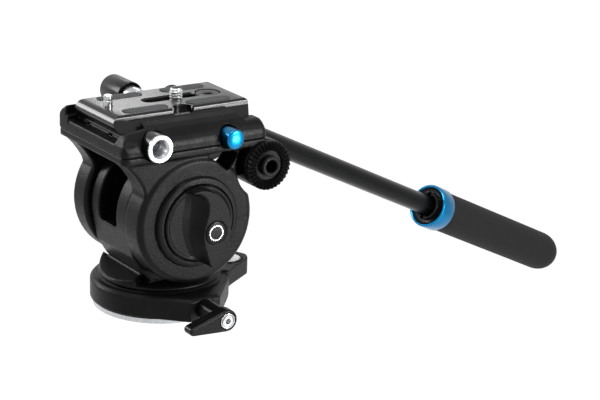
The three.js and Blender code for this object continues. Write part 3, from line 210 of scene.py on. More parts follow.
# Sintered bronze: a warm porous metal that scatters the light
sinteredBronze = {
    "dark": "#8a6a3c", "light": "#b08a55", "grain": 0.4, "detail": 2.0, "grainHeight": 0.02, "relief": 0.6,
    "stretch": (1.0, 1.0, 0.08), "smooth": 0.35, "rough": 0.5, "shader": {"Metallic": 1.0},
}
# Turned aluminium, blue anodised: a deep clear colour over metal, with a thin glossy skin
blueAnodised = {
    "dark": "#055f8a", "light": "#0770a0", "grain": 0.3, "detail": 2.0, "grainHeight": 0.003, "relief": 0.6,
    "stretch": (1.0, 0.1, 1.0), "smooth": 0.24, "rough": 0.32,
    "shader": {"Metallic": 1.0, "Coat Weight": 0.15, "Coat Roughness": 0.12},
}
# Drawn aluminium tube, black anodised: a satin metal with faint lines along its length
drawnTube = {
    "dark": "#161617", "light": "#1f2021", "grain": 0.3, "detail": 2.0, "grainHeight": 0.006, "relief": 0.6,
    "stretch": (0.1, 1.0, 1.0), "smooth": 0.26, "rough": 0.36, "shader": {"Metallic": 1.0},
}


# Fine grain sets roughness and relief, and the colour follows it or varies in broader patches
def grainedSurface(name, look):
    material, tree, place = blankMaterial(name)
    drawn = addNode(
        tree, "ShaderNodeMapping", {"Scale": look.get("stretch", (1.0, 1.0, 1.0))}, {"Vector": place},
    )
    grain = addNode(
        tree, "ShaderNodeTexNoise", {"Scale": 1 / (look["grain"] * mm), "Detail": look["detail"]},
        {"Vector": drawn.outputs["Vector"]},
    ).outputs["Fac"]
    tint = grain
    if "patch" in look:
        tint = addNode(
            tree, "ShaderNodeTexNoise", {"Scale": 1 / (look["patch"] * mm), "Detail": 3.0}, {"Vector": place},
        ).outputs["Fac"]
    colour = addNode(
        tree, "ShaderNodeValToRGB", links={"Fac": tint},
        stops=[(0.3, linear(look["dark"])), (0.7, linear(look["light"]))],
    )
    rough = addNode(
        tree, "ShaderNodeValToRGB", links={"Fac": grain},
        stops=[(0.3, grey(look["smooth"])), (0.7, grey(look["rough"]))],
    )
    bump = addNode(
        tree, "ShaderNodeBump", {"Distance": look["grainHeight"] * mm, "Strength": look["relief"]},
        {"Height": grain},
    )
    shader = addNode(tree, "ShaderNodeBsdfPrincipled", look["shader"], {
        "Base Color": colour.outputs["Color"], "Roughness": rough.outputs["Color"],
        "Normal": bump.outputs["Normal"],
    })
    addNode(tree, "ShaderNodeOutputMaterial", links={"Surface": shader.outputs["BSDF"]})
    return material


# Rolled steel thread: bright steel on the crests, with painted shade in the roots, so the turns read as
# stripes
rolledThread = {"paintedRootShade": "#2c2c2d", "steel": "#d8d9da", "rootRadius": 2.2, "crestRadius": 2.55, "rough": 0.3}


def rolledThreadSteel():
    look = rolledThread
    material, tree, place = blankMaterial("rolled_steel_thread")
    low, high = nodeBox("camera_screw")
    radius = distanceFrom(tree, place, (low[0] + high[0]) / 2 * mm, 0)
    # Painted shade: the colour darkens from the bright crests towards the thread roots
    depth = addNode(
        tree, "ShaderNodeMapRange",
        {"From Min": look["rootRadius"] * mm, "From Max": look["crestRadius"] * mm}, {"Value": radius},
    )
    colour = addNode(
        tree, "ShaderNodeValToRGB", links={"Fac": depth.outputs["Result"]},
        stops=[(0.3, linear(look["paintedRootShade"])), (0.7, linear(look["steel"]))],
    )
    shader = addNode(
        tree, "ShaderNodeBsdfPrincipled", {"Metallic": 1.0, "Roughness": look["rough"]},
        {"Base Color": colour.outputs["Color"]},
    )
    addNode(tree, "ShaderNodeOutputMaterial", links={"Surface": shader.outputs["BSDF"]})
    return material


# Clear acrylic vial over pale spirit: a glossy bright disc with a bubble and a printed ring in it
vialLook = {
    "liquid": "#f6f7f4", "bubble": "#fdfdfb", "ring": "#a9afa8", "bubbleRadius": 1.9, "ringRadius": 3.0,
    "rough": 0.08, "ior": 1.49, "gloss": 0.6, "glossRough": 0.03,
}


def acrylicVial():
    look = vialLook
    material, tree, place = blankMaterial("clear_acrylic_vial")
    low, high = nodeBox("bubble_vial")
    outer = (high[0] - low[0]) / 2
    middle = [(a + b) / 2 * mm for a, b in zip(low, high)]
    share = addNode(
        tree, "ShaderNodeMapRange", {"From Min": 0.0, "From Max": outer * mm},
        {"Value": distanceFrom(tree, place, middle[0], middle[1])},
    )
    bubble = look["bubbleRadius"] / outer
    ring = look["ringRadius"] / outer
    liquid = linear(look["liquid"])
    line = linear(look["ring"])
    colour = addNode(tree, "ShaderNodeValToRGB", links={"Fac": share.outputs["Result"]}, stops=[
        (bubble - 0.03, linear(look["bubble"])), (bubble, line), (bubble + 0.05, liquid),
        (ring, liquid), (ring + 0.02, line), (ring + 0.08, liquid),
    ])
    shader = addNode(tree, "ShaderNodeBsdfPrincipled", {
        "Roughness": look["rough"], "IOR": look["ior"], "Coat Weight": look["gloss"],
        "Coat Roughness": look["glossRough"],
    }, {"Base Color": colour.outputs["Color"]})
    addNode(tree, "ShaderNodeOutputMaterial", links={"Surface": shader.outputs["BSDF"]})
    return material


finishes = {
    "casting_black": grainedSurface("powder_coated_cast_aluminium", powderCoat),
    "plate_black": grainedSurface("black_anodised_milled_aluminium", anodisedBlack),
    "plastic_black": grainedSurface("moulded_black_nylon", mouldedNylon),
    "tube_black": grainedSurface("black_anodised_drawn_tube", drawnTube),
    "foam_black": grainedSurface("closed_cell_foam", closedCellFoam),
    "rubber_grey": grainedSurface("moulded_grey_rubber", mouldedRubber),
    "satin_aluminium": grainedSurface("turned_satin_aluminium", turnedAluminium),
    "bright_steel": grainedSurface("machined_bright_steel", machinedSteel),
    "blue_anodised": grainedSurface("blue_anodised_turned_aluminium", blueAnodised),
    "bearing_bronze": grainedSurface("sintered_bearing_bronze", sinteredBronze),
    "friction_grey": grainedSurface("pressed_friction_compound", frictionCompound),
    "vial_clear": acrylicVial(),
}
print("materials made")

slotOf = {entry["node"]: entry["material_slot"] for entry in frame["record"]["subparts"]}
bodyOf = {node: body for body, nodes in frame["record"]["behaviour"]["bodies"].items() for node in nodes}

for node, piece in frame["nodes"].items():
    piece.data.materials.clear()
    piece.data.materials.append(finishes[slotOf[node]])


def meshObject(name, points, faces):
    data = bpy.data.meshes.new(name)
    data.from_pydata([Vector(point) * mm for point in points], [], faces)
    shape = bmesh.new()
    shape.from_mesh(data)
    bmesh.ops.recalc_face_normals(shape, faces=shape.faces)
    shape.to_mesh(data)
    shape.free()
    piece = bpy.data.objects.new(name, data)
    sceneData.collection.objects.link(piece)
    return piece


# Turns a place along an axis and two across it into x, y, z
def onAxis(axis, along, u, v):
    if axis == "X":
        return (along, u, v)
    if axis == "Y":
        return (u, along, v)
    return (u, v, along)


# A closed body from a profile of (radius, place) turned about an axis through centre
def turned(name, profile, axis="Z", centre=(0, 0, 0), sides=96):
    points = []
    rings = []
    for radius, along in profile:
        if radius == 0:
            rings.append([len(points)])
            points.append(onAxis(axis, along, 0, 0))
            continue
        rings.append(list(range(len(points), len(points) + sides)))
        for step in range(sides):
            angle = 2 * math.pi * step / sides
            points.append(onAxis(axis, along, radius * math.cos(angle), radius * math.sin(angle)))
    faces = []
    pairs = list(zip(rings, rings[1:]))
    if len(rings[0]) > 1:
        pairs.append((rings[-1], rings[0]))
    for first, second in pairs:
        for step in range(sides):
            after = (step + 1) % sides
            corners = [first[step % len(first)], first[after % len(first)]]
            corners += [second[after % len(second)], second[step % len(second)]]
            kept = list(dict.fromkeys(corners))
            if len(kept) > 2:
                faces.append(kept)
    moved = [tuple(a + b for a, b in zip(point, centre)) for point in points]
    return meshObject(name, moved, faces)


# A round bar in steps of (radius, start, end) along its axis, used as a bore, a seat or a boss
def steppedBar(name, steps, axis="Z", centre=(0, 0, 0), sides=64):
    profile = [(0, steps[0][1])]
    for radius, start, end in steps:
        profile += [(radius, start), (radius, end)]
    profile.append((0, steps[-1][2]))
    return turned(name, profile, axis, centre, sides)


# A closed body between stacked outlines with the same number of points
def stacked(name, outlines, axis, places, centre=(0, 0, 0)):
    count = len(outlines[0])
    points = [onAxis(axis, along, u, v) for outline, along in zip(outlines, places) for u, v in outline]
    last = (len(outlines) - 1) * count
    faces = [list(range(count)), list(range(last, last + count))]
    for level in range(len(outlines) - 1):
        base = level * count
        faces += [
            [base + step, base + (step + 1) % count, base + count + (step + 1) % count, base + count + step]
            for step in range(count)
        ]
    moved = [tuple(a + b for a, b in zip(point, centre)) for point in points]
    return meshObject(name, moved, faces)


# A closed body from one outline pushed along an axis
def pushed(name, outline, axis, start, end, centre=(0, 0, 0)):
    return stacked(name, [outline, outline], axis, [start, end], centre)


def blockBetween(name, low, high):
    outline = [(low[0], low[1]), (high[0], low[1]), (high[0], high[1]), (low[0], high[1])]
    return pushed(name, outline, "Z", low[2], high[2])


def arc(centre, radius, startDegrees, endDegrees, steps):
    sweep = endDegrees - startDegrees
    angles = [math.radians(startDegrees + sweep * step / steps) for step in range(steps + 1)]
    return [(centre[0] + radius * math.cos(angle), centre[1] + radius * math.sin(angle)) for angle in angles]


# Points spaced evenly round a circle
def aroundCircle(count, radius, startDegrees=0):
    return arc((0, 0), radius, startDegrees, startDegrees + 360 * (count - 1) / count, count - 1)


def stadiumOutline(centre, length, width, steps=16):
    radius = width / 2
    half = length / 2 - radius
    right = arc((centre[0] + half, centre[1]), radius, -90, 90, steps)
    left = arc((centre[0] - half, centre[1]), radius, 90, 270, steps)
    return right + left


# A rectangle with rounded corners, from two opposite corners
def roundedOutline(low, high, radius, steps):
    points = []
    for x, y, first in (
        (high[0] - radius, high[1] - radius, 0), (low[0] + radius, high[1] - radius, 90),
        (low[0] + radius, low[1] + radius, 180), (high[0] - radius, low[1] + radius, 270),
    ):
        points += arc((x, y), radius, first, first + 90, steps)
    return points


# A smooth closed curve through the given points
def smoothLoop(points, steps=6):
    count = len(points)
    result = []
    for index in range(count):
        near = [points[(index + shift) % count] for shift in (-1, 0, 1, 2)]
        for step in range(steps):
            t = step / steps
            spot = []
            for a, b, c, d in zip(*near):
                bend = (2 * a - 5 * b + 4 * c - d) * t ** 2 + (3 * b - a - 3 * c + d) * t ** 3
                spot.append(0.5 * (2 * b + (c - a) * t + bend))
            result.append(tuple(spot))
    return result


# Puts the result of a piece's modifiers into its own mesh
def settle(piece):
    graph = bpy.context.evaluated_depsgraph_get()
    data = bpy.data.meshes.new_from_object(piece.evaluated_get(graph))
    old = piece.data
    piece.modifiers.clear()
    piece.data = data
    bpy.data.meshes.remove(old)
    return piece


def combine(piece, others, operation):
    for other in others:
        change = piece.modifiers.new(operation.lower(), "BOOLEAN")
        change.operation = operation
        change.solver = "EXACT"
        change.object = other
    settle(piece)
    for other in others:
        bpy.data.objects.remove(other)
    return piece


def joinedWith(piece, *others):
    return combine(piece, others, "UNION")


def cutBy(piece, *others):
    return combine(piece, others, "DIFFERENCE")


# Cast and moulded shapes: remade in small even cells, then eased so that every corner is softly rounded
def castSoft(piece, cell, passes):
    remake = piece.modifiers.new("cast_skin", "REMESH")
    remake.mode = "VOXEL"
    remake.voxel_size = cell * mm
    ease = piece.modifiers.new("eased_corners", "SMOOTH")
    ease.factor = 0.5
    ease.iterations = passes
    settle(piece)
    piece.data.shade_smooth()
    return piece


# Machined shapes: crisp faces with a fine rounded edge where they meet at more than the angle
def breakEdges(piece, width, segments=2, angle=32):
    piece.data.shade_smooth()
    edge = piece.modifiers.new("broken_edges", "BEVEL")
    edge.limit_method = "ANGLE"
    edge.angle_limit = math.radians(angle)
    edge.width = width * mm
    edge.segments = segments
    edge.use_clamp_overlap = True
    edge.harden_normals = True
    return piece


# Gives a piece the finish named by a slot, puts it in its body, and hides the node that it stands for, if any
def dressPiece(piece, body, slotName, node=None):
    piece.data.materials.clear()
    piece.data.materials.append(finishes[slotName])
    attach(piece, body)
    if node:
        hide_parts(node)
    return piece


def fitPiece(piece, node):
    return dressPiece(piece, bodyOf[node], slotOf[node], node)


# Base ring: turned aluminium disc with a seat for the thread insert and three countersunk holes below
baseRing = {
    "bore": 7.3, "seat": 10.3, "seatDepth": 1.8, "edge": 0.35,
    "screwCircle": 14.6, "screwHole": [(3.2, -1, 0.4), (1.8, 2, 4)],
}


def makeBaseRing():
    b = baseRing
    low, high = nodeBox("base_plate")
    radius = high[0]
    seatTop = low[2] + b["seatDepth"]
    ring = turned("base_ring", [
        (b["bore"], high[2]), (radius - 2 * b["edge"], high[2]), (radius, high[2] - b["edge"]),
        (radius, low[2] + b["edge"]), (radius - b["edge"], low[2]), (b["seat"], low[2]),
        (b["seat"], seatTop), (b["bore"], seatTop),
    ], sides=128)
    cutBy(ring, *[
        steppedBar("screw_hole", b["screwHole"], centre=(x, y, 0), sides=32)
        for x, y in aroundCircle(3, b["screwCircle"])
    ])
    breakEdges(ring, 0.12)
    fitPiece(ring, "base_plate")


makeBaseRing()


# Pan housing: cast disc with a nose for the lock, a tab for the level and a stepped top
housing = {
    "radius": 34.5, "floor": 3.2, "top": 15.5, "bevel": 1.7, "step": 1.0, "plateau": 30.8, "edge": 0.5,
    "noseLeft": -7.2, "noseRight": 9.5, "noseReach": 41.5, "noseBevel": 0.8, "noseSlope": 0.6,
    "tabAngle": 29.3, "tabEndRadius": 7.4, "tabEndX": 43.2, "tabFloor": 6.9,
    "flangePocket": [(19.1, 2, 6.9), (10.8, 6.9, 17)], "levelPocket": [(8.3, 11.5, 17)],
    "lockBore": [(2.3, -43, -5)], "noseRecess": [(5.2, -43, -41.1)],
    "screwCircle": 24.5, "screwStart": -30, "screwHole": [(2.9, 2, 6.9), (1.8, 6.9, 17)], "cell": 0.5,
}


def tangentAngle(x, y, radius, side):
    return math.degrees(math.atan2(y, x) + side * math.acos(radius / math.hypot(x, y)))


def makeHousing():
    h = housing
    radius = h["radius"]
    shoulder = h["top"] - h["step"]
    disc = turned("pan_housing_cast", [
        (0, h["floor"]), (radius - h["edge"], h["floor"]), (radius, h["floor"] + h["edge"]),
        (radius, shoulder - h["bevel"]), (radius - h["bevel"], shoulder), (h["plateau"], shoulder),
        (h["plateau"] - h["step"], h["top"]), (0, h["top"]),
    ], sides=160)
    reach = -h["noseReach"]
    start = tangentAngle(h["noseRight"], reach, radius, 1)
    end = tangentAngle(h["noseLeft"], reach, radius, -1)
    flanks = [(radius * math.cos(math.radians(a)), radius * math.sin(math.radians(a))) for a in (start, end)]
    bevel = h["bevel"] * h["noseBevel"]
    side = bevel * h["noseSlope"]
    share = 1 - bevel / radius
    right, left = [(x * share, y * share) for x, y in flanks]
    outline = [(h["noseLeft"], reach), (h["noseRight"], reach), flanks[0], (0, 0), flanks[1]]
    top = [(h["noseLeft"] + side, reach + bevel), (h["noseRight"] - side, reach + bevel), right, (0, 0), left]
    nose = stacked("nose", [outline, outline, top], "Z", [h["floor"], shoulder - bevel, shoulder])
    rootX = radius * math.cos(math.radians(h["tabAngle"]))
    rootY = radius * math.sin(math.radians(h["tabAngle"]))
    touch = tangentAngle(rootX - h["tabEndX"], rootY, h["tabEndRadius"], -1)
    tabOutline = [(0, 0), (rootX, -rootY)]
    tabOutline += arc((h["tabEndX"], 0), h["tabEndRadius"], -touch, touch, 24)
    tabOutline.append((rootX, rootY))
    tab = pushed("tab", tabOutline, "Z", h["tabFloor"], h["top"])
    joinedWith(disc, nose, tab)
    cuts = [
        steppedBar("flange_pocket", h["flangePocket"]),
        steppedBar("level_pocket", h["levelPocket"], centre=axes["level"]),
        steppedBar("lock_bore", h["lockBore"], "Y", axes["panLock"], 32),
        steppedBar("nose_recess", h["noseRecess"], "Y", axes["panLock"], 48),
    ]
    for x, y in aroundCircle(3, h["screwCircle"], h["screwStart"]):
        cuts.append(steppedBar("screw_way", h["screwHole"], centre=(x, y, 0), sides=24))
    cutBy(disc, *cuts)
    castSoft(disc, h["cell"], passes=2)
    fitPiece(disc, "pan_housing")


makeHousing()
print("base and pan housing made")


# Drum: barrel for the drag cartridge on a waisted post, with a skirt and a sloped apron at the lens end
drum = {
    "radius": 29.8, "near": -19.2, "far": 17.2, "edge": 1.6,
    "post": [(16.5, 17.1), (17.2, 19.6), (21, 24), (26, 32), (28.7, 43.3)], "postInset": 0.4,
    "skirt": 30.5, "skirtFloor": 15.8, "skirtTop": 18.3, "skirtEdge": [(0, 1.4), (0.7, 1.0), (1.6, 0.8)],
    "apronEdge": -19.0, "apronNear": -15.0, "apronTop": 22.0, "apronFall": 0.375, "apronInset": 0.6,
    "apronStart": 215.6, "apronSink": 1.5,
    "windowHalf": 5.5, "windowCorner": 3, "windowFloor": 48, "windowTop": 84, "windowDepth": (-32, -9),
    "dragBore": [(15.3, -21, 19)], "nutPocket": [(14.6, 14, 26.5)], "screwHole": [(1.8, 14, 17.6)],
    "cell": 0.52,
}


def makeDrum():
    d = drum
    radius = d["radius"]
    edge = d["edge"]
    barrel = turned("drum_cast", [
        (0, d["near"]), (radius - edge, d["near"]), (radius - 0.45 * edge, d["near"] + 0.25 * edge),
        (radius, d["near"] + edge), (radius, d["far"] - edge), (radius - edge, d["far"]), (0, d["far"]),
    ], "Y", axes["tilt"], 160)
    outline = d["post"] + [(-x, z) for x, z in reversed(d["post"])]
    post = pushed("post", outline, "Y", d["near"] + d["postInset"], d["far"] - d["postInset"])
    top = d["skirtTop"]
    skirtProfile = [(0, d["skirtFloor"]), (d["skirt"], d["skirtFloor"])]
    skirtProfile += [(d["skirt"] - inset, top - drop) for inset, drop in d["skirtEdge"]]
    skirt = turned("skirt", skirtProfile + [(0, top)], sides=160)
    reach = d["skirt"] - d["apronInset"]
    edgeX = d["apronEdge"]
    end = math.degrees(math.atan2(math.sqrt(reach ** 2 - edgeX ** 2), edgeX))
    plan = [(edgeX, d["apronNear"])] + arc((0, 0), reach, d["apronStart"], end, 40)
    points = [(x, y, top - d["apronSink"]) for x, y in plan]
    points += [(x, y, d["apronTop"] - d["apronFall"] * (edgeX - x)) for x, y in plan]
    count = len(plan)
    faces = [list(range(count)), list(range(count, 2 * count))]
    faces += [[i, (i + 1) % count, count + (i + 1) % count, count + i] for i in range(count)]
    apron = meshObject("apron", points, faces)
    joinedWith(barrel, post, skirt, apron)
    half = d["windowHalf"]
    corner = d["windowCorner"]
    windowOutline = arc((-half, d["windowFloor"]), corner, 180, 270, 8)
    windowOutline += arc((half, d["windowFloor"]), corner, 270, 360, 8)
    windowOutline += [(half + corner, d["windowTop"]), (-half - corner, d["windowTop"])]
    cuts = [
        pushed("window", windowOutline, "X", *d["windowDepth"]),
        steppedBar("drag_bore", d["dragBore"], "Y", axes["tilt"], 96),
        steppedBar("nut_pocket", d["nutPocket"]),
    ]
    for x, y in aroundCircle(3, housing["screwCircle"], housing["screwStart"]):
        cuts.append(steppedBar("screw_way", d["screwHole"], centre=(x, y, 0), sides=24))
    cutBy(barrel, *cuts)
    castSoft(barrel, d["cell"], passes=3)
    fitPiece(barrel, "drum_body")


makeDrum()
print("drum made")


# Tilt cradle: deck, two cheeks with raised round faces, windows and bosses for the rosettes
cradle = {
    "near": -34.0, "nearInner": -19.5, "farInner": 17.5, "far": 30.0, "radius": 31.6, "farRadius": 32.5,
    "faceRaise": 1.3, "edge": 1.1, "deckTop": 36.3, "deckThick": 3.6, "deckFront": -40.0, "deckRear": 40.0,
    "deckFar": 31.2, "corner": 3.6, "webInset": 0.9, "webTop": 35.4, "webFront": 33.2, "webRear": 32.7,
    "rosetteX": 39.4, "rosetteZ": 22.9, "rosetteRadius": 12.4, "pocketRadius": 16.8, "pocketDepth": 8.0,
    "axleBore": [(6.5, -36, 32)], "nearHole": [(3.1, -36, -25)], "farHole": [(3.1, 32, 21)],
    "screwHole": [(3.5, 83, 84.6), (2.2, 86.4, 89)], "cell": 0.62,
}
# Seats that run through cradle and clamp alike, as steps of (radius, start, end)
portSeat = [(7.05, -36, -27.7)]
buttonSeat = [(5.4, -36, -24)]
cheekFront = [
    (-38.4, 32.7), (-36.2, 30.4), (-33.2, 27.2), (-30.6, 23.6), (-28.6, 20.4), (-27.6, 17.2), (-27.9, 13.4),
    (-29.3, 9.6), (-30.6, 6.2), (-31.3, 2.4),
]
cheekRear = [(25.8, 9.5), (26.4, 13.4), (28.2, 16.6), (31.6, 19.4), (36.0, 21.5)]
windowLoop = [
    (7.2, 31.4), (13.1, 32.3), (21.5, 31.6), (23.6, 29.8), (22.4, 27.6), (19.4, 24.4), (17.2, 23.3),
    (15.3, 24.6), (11.6, 27.9),
]


# Web and round face of one cheek, with the face raised on the outside
def makeCheek(start, end, isNear):
    c = cradle
    front = c["deckFront"] + c["webInset"]
    rear = c["deckRear"] - c["webInset"]
    web = [(0, 0)] + cheekRear + [(c["rosetteX"], c["rosetteZ"]), (rear, c["webRear"]), (rear, c["webTop"])]
    web += [(front, c["webTop"]), (front, c["webFront"])] + cheekFront
    edge = c["edge"]
    if isNear:
        r = c["radius"]
        body = pushed("cheek_web", web, "Y", start + c["faceRaise"], end, axes["tilt"])
        profile = [
            (0, start), (r - edge - 1.0, start), (r - 0.5, start + edge), (r, start + 2 * edge),
            (r, end - edge), (r - edge, end), (0, end),
        ]
    else:
        r = c["farRadius"]
        body = pushed("cheek_web", web, "Y", start, end - c["faceRaise"], axes["tilt"])
        profile = [
            (0, end), (r - edge, end), (r - 0.3, end - 0.5 * edge), (r, end - edge),
            (r, start + edge), (r - edge, start), (0, start),
        ]
    return joinedWith(body, turned("cheek_round", profile, "Y", axes["tilt"], 160))


def makeCradle():
    c = cradle
    near = makeCheek(c["near"], c["nearInner"], True)
    far = makeCheek(c["farInner"], c["far"], False)
    centre = (c["rosetteX"], 0, tiltZ + c["rosetteZ"])
    wide = c["pocketRadius"]
    deep = c["pocketDepth"]
    pockets = [
        steppedBar("near_pocket", [(wide, -36, c["near"] + deep)], "Y", centre, 96),
        steppedBar("far_pocket", [(wide, 32, c["far"] - deep)], "Y", centre, 96),
        pushed("cheek_windows", smoothLoop(windowLoop, 5), "Y", -36, 32, axes["tilt"]),
    ]
    joinedWith(near, far)
    cutBy(near, *pockets)
    top = tiltZ + c["deckTop"]
    deckOutline = roundedOutline((c["deckFront"], c["near"]), (c["deckRear"], c["deckFar"]), c["corner"], 8)
    boss = c["rosetteRadius"]
    joinedWith(
        near,
        pushed("deck", deckOutline, "Z", top - c["deckThick"], top),
        steppedBar("near_boss", [(boss, c["near"], c["nearInner"])], "Y", centre, 96),
        steppedBar("far_boss", [(boss, c["far"], c["farInner"])], "Y", centre, 96),
    )
    cuts = [
        steppedBar("axle_bore", c["axleBore"], "Y", axes["tilt"], 64),
        steppedBar("near_hole", c["nearHole"], "Y", centre, 32),
        steppedBar("far_hole", c["farHole"], "Y", centre, 32),
        steppedBar("port_seat", portSeat, "Y", axes["port"], 48),
        steppedBar("button_seat", buttonSeat, "Y", axes["button"], 48),
    ]
    cuts += [steppedBar("screw_way", c["screwHole"], centre=spot, sides=24) for spot in clampScrewSpots]
    cutBy(near, *cuts)
    near.name = "tilt_cradle_cast"
    castSoft(near, c["cell"], passes=2)
    fitPiece(near, "tilt_cradle")


makeCradle()
print("cradle made")


# Clamp: cast trough for the camera plate, with side rails and lower rounded ends
clamp = {
    "front": -40.2, "rear": 40.0, "near": -34.0, "far": 30.5, "corner": 3.4,
    "railFront": -24.5, "railRear": 29.4, "endWallTop": 93.0, "endWallX": -33.9,
    "postFar": 31.4, "postHeights": (87, 102), "cell": 0.5,
    # The near face leans in as it rises, by (inset, height), and the others by a share of that
    "lean": [(0.0, 87.9), (0.0, 90.5), (0.7, 92.6), (2.0, 94.8), (3.6, 96.4), (5.4, 96.9)],
    "endLean": 0.55, "farLean": 0.4, "cornerLean": 0.3,
    "nearRail": [
        (-33.6, 90), (-33.1, 92.4), (-31.4, 95.6), (-29.0, 98.2), (-25.7, 99.9), (-22.4, 100.6),
        (-20.4, 100.6), (-22.6, 96.5), (-22.6, 90),
    ],
    "farRail": [(27.6, 90), (30.5, 90), (30.5, 98.2), (29.8, 98.9), (27.6, 98.9)],
    "channel": [(-22.6, 95.0), (22.6, 95.0), (22.6, 104), (-20.5, 104), (-22.6, 96.5)],
    "jawSlot": [(-24.8, 21.6, 94.7), (29.7, 28.0, 104)], "jawPocket": [(-0.4, 20.0, 89.4), (12.4, 28.1, 96)],
    "boltWay": [(2.5, 21.8, 32)], "catchSpot": (18, -14.5, 0), "catchWay": [(1.9, 86, 97)],
    "railNotch": [(3.0, -36, -19)], "notchZ": 101.0, "screwHole": [(2.2, 86, 93.2)],
}
# Raised blocks at the lens end of the rails: their shapes seen from the end and from the side
endPosts = {
    "near_post": {
        "across": (-35, -24),
        "end": [
            (-34.0, 88), (-34.0, 90.5), (-33.1, 92.6), (-31.4, 95.6), (-29.0, 98.2), (-27.2, 99.2),
            (-25.9, 99.2), (-24.2, 93), (-24.2, 88),
        ],
        "side": [
            (-40.2, 88), (-24, 88), (-24, 99.0), (-26.6, 98.9), (-29.0, 98.4), (-32.0, 98.4), (-34.7, 98.2),
            (-36.8, 97.4), (-38.4, 95.6), (-39.6, 93.0), (-40.2, 90.0),
        ],
    },
    "far_post": {
        "across": (20.5, 32),
        "end": [
            (20.5, 88), (31.4, 88), (31.2, 91.4), (29.8, 94.4), (27.2, 97.1), (24.2, 99.4), (22.4, 100.4),
            (20.5, 100.6),
        ],
        "side": [(-40.2, 88), (-24, 88), (-24, 100.6), (-38.6, 100.6), (-39.6, 99.8), (-40.2, 98.0)],
    },
}


# Each post is what its end shape, its side shape and the clamp's plan have in common
def makeEndPosts():
    c = clamp
    plan = roundedOutline((c["front"], c["near"]), (c["rear"], c["postFar"]), c["corner"], 10)
    posts = []
    for name, shape in endPosts.items():
        post = pushed(name, shape["end"], "X", c["front"], c["railFront"] + 2)
        combine(post, [pushed("post_profile", shape["side"], "Y", *shape["across"])], "INTERSECT")
        combine(post, [pushed("post_plan", plan, "Z", *c["postHeights"])], "INTERSECT")
        posts.append(post)
    return posts


def makeClamp():
    c = clamp
    outlines = []
    for inset, _ in c["lean"]:
        low = (c["front"] + inset * c["endLean"], c["near"] + inset)
        high = (c["rear"] - inset * c["endLean"], c["far"] - inset * c["farLean"])
        outlines.append(roundedOutline(low, high, c["corner"] - inset * c["cornerLean"], 10))
    body = stacked("clamp_cast", outlines, "Z", [height for _, height in c["lean"]])
    nearRail = pushed("near_rail", c["nearRail"], "X", c["railFront"], c["railRear"])
    farRail = pushed("far_rail", c["farRail"], "X", c["railFront"], c["railRear"])
    cutBy(body, blockBetween("end_wall_top", (-42, -36, c["endWallTop"]), (c["endWallX"], 36, 104)))
    joinedWith(body, nearRail, farRail, *makeEndPosts())
    cuts = [
        pushed("channel", c["channel"], "X", -42, 42),
        blockBetween("jaw_slot", *c["jawSlot"]),
        blockBetween("jaw_pocket", *c["jawPocket"]),
        steppedBar("bolt_way", c["boltWay"], "Y", axes["plateLock"], 32),
        steppedBar("catch_way", c["catchWay"], centre=c["catchSpot"], sides=32),
        steppedBar("port_seat", portSeat, "Y", axes["port"], 64),
        steppedBar("button_seat", buttonSeat, "Y", axes["button"], 64),
        steppedBar("rail_notch", c["railNotch"], "Y", (c["railRear"] + 0.8, 0, c["notchZ"]), 48),
    ]
    cuts += [steppedBar("screw_way", c["screwHole"], centre=spot, sides=24) for spot in clampScrewSpots]
    cutBy(body, *cuts)
    castSoft(body, c["cell"], passes=2)
    fitPiece(body, "clamp_body")


makeClamp()
print("clamp made")


# Camera plate: milled bar with rolled edges, dovetail sides, a screw slot and four pad seats
plate = {
    "front": -37.3, "rear": 38.0, "top": 104.0, "under": 95.3, "flare": 22.0, "flareTop": 96.5, "band": 18.3,
    "bandFoot": 101.0, "roll": 1.7, "planCorner": 2.5, "flatInset": 5.6,
    "frontRoll": 4.9, "frontSlope": 3.2, "frontBandFoot": 98.6,
    "rearRoll": 2.4, "rearRollDrop": 2.2, "rearSlope": 2.3, "rearBandFoot": 100.8,
    "slotFront": -10.5, "slotRear": 20.6, "slotWidth": 6.94, "slotRim": 0.7, "slotFlare": 1.6,
    "sliderWay": [(-18.5, -6.5, 94), (27, 6.5, 99.4)], "catchGroove": [(-20, -16.4, 94), (30, -12.6, 97.1)],
    "edgeNotch": [(-4.6, 105), (-4.2, 101.6), (-3.2, 100.6), (6.2, 100.6), (7.2, 101.6), (7.6, 105)],
    "scoopSpot": (1.5, -17.6, 0), "scoop": [(4.9, 101.0, 105)],
    "insertSeat": [(6.3, 102.1, 105)], "insertHole": [(2.6, 94, 105)],
    "pinWay": [(3.3, 94, 102.1), (2.5, 102.1, 105)],
}
pads = {
    "length": 24.0, "width": 6.2, "frontX": -16.3, "rearX": 18.6, "side": 12.4, "proud": 0.5, "deep": 1.2,
    "rib": 1.0, "ribDepth": 0.34, "ribTurn": -52, "sheetHalf": 22, "seatRoom": 0.6, "seatDepth": 1.0,
}
padSpots = [(x, y) for x in (pads["frontX"], pads["rearX"]) for y in (-pads["side"], pads["side"])]


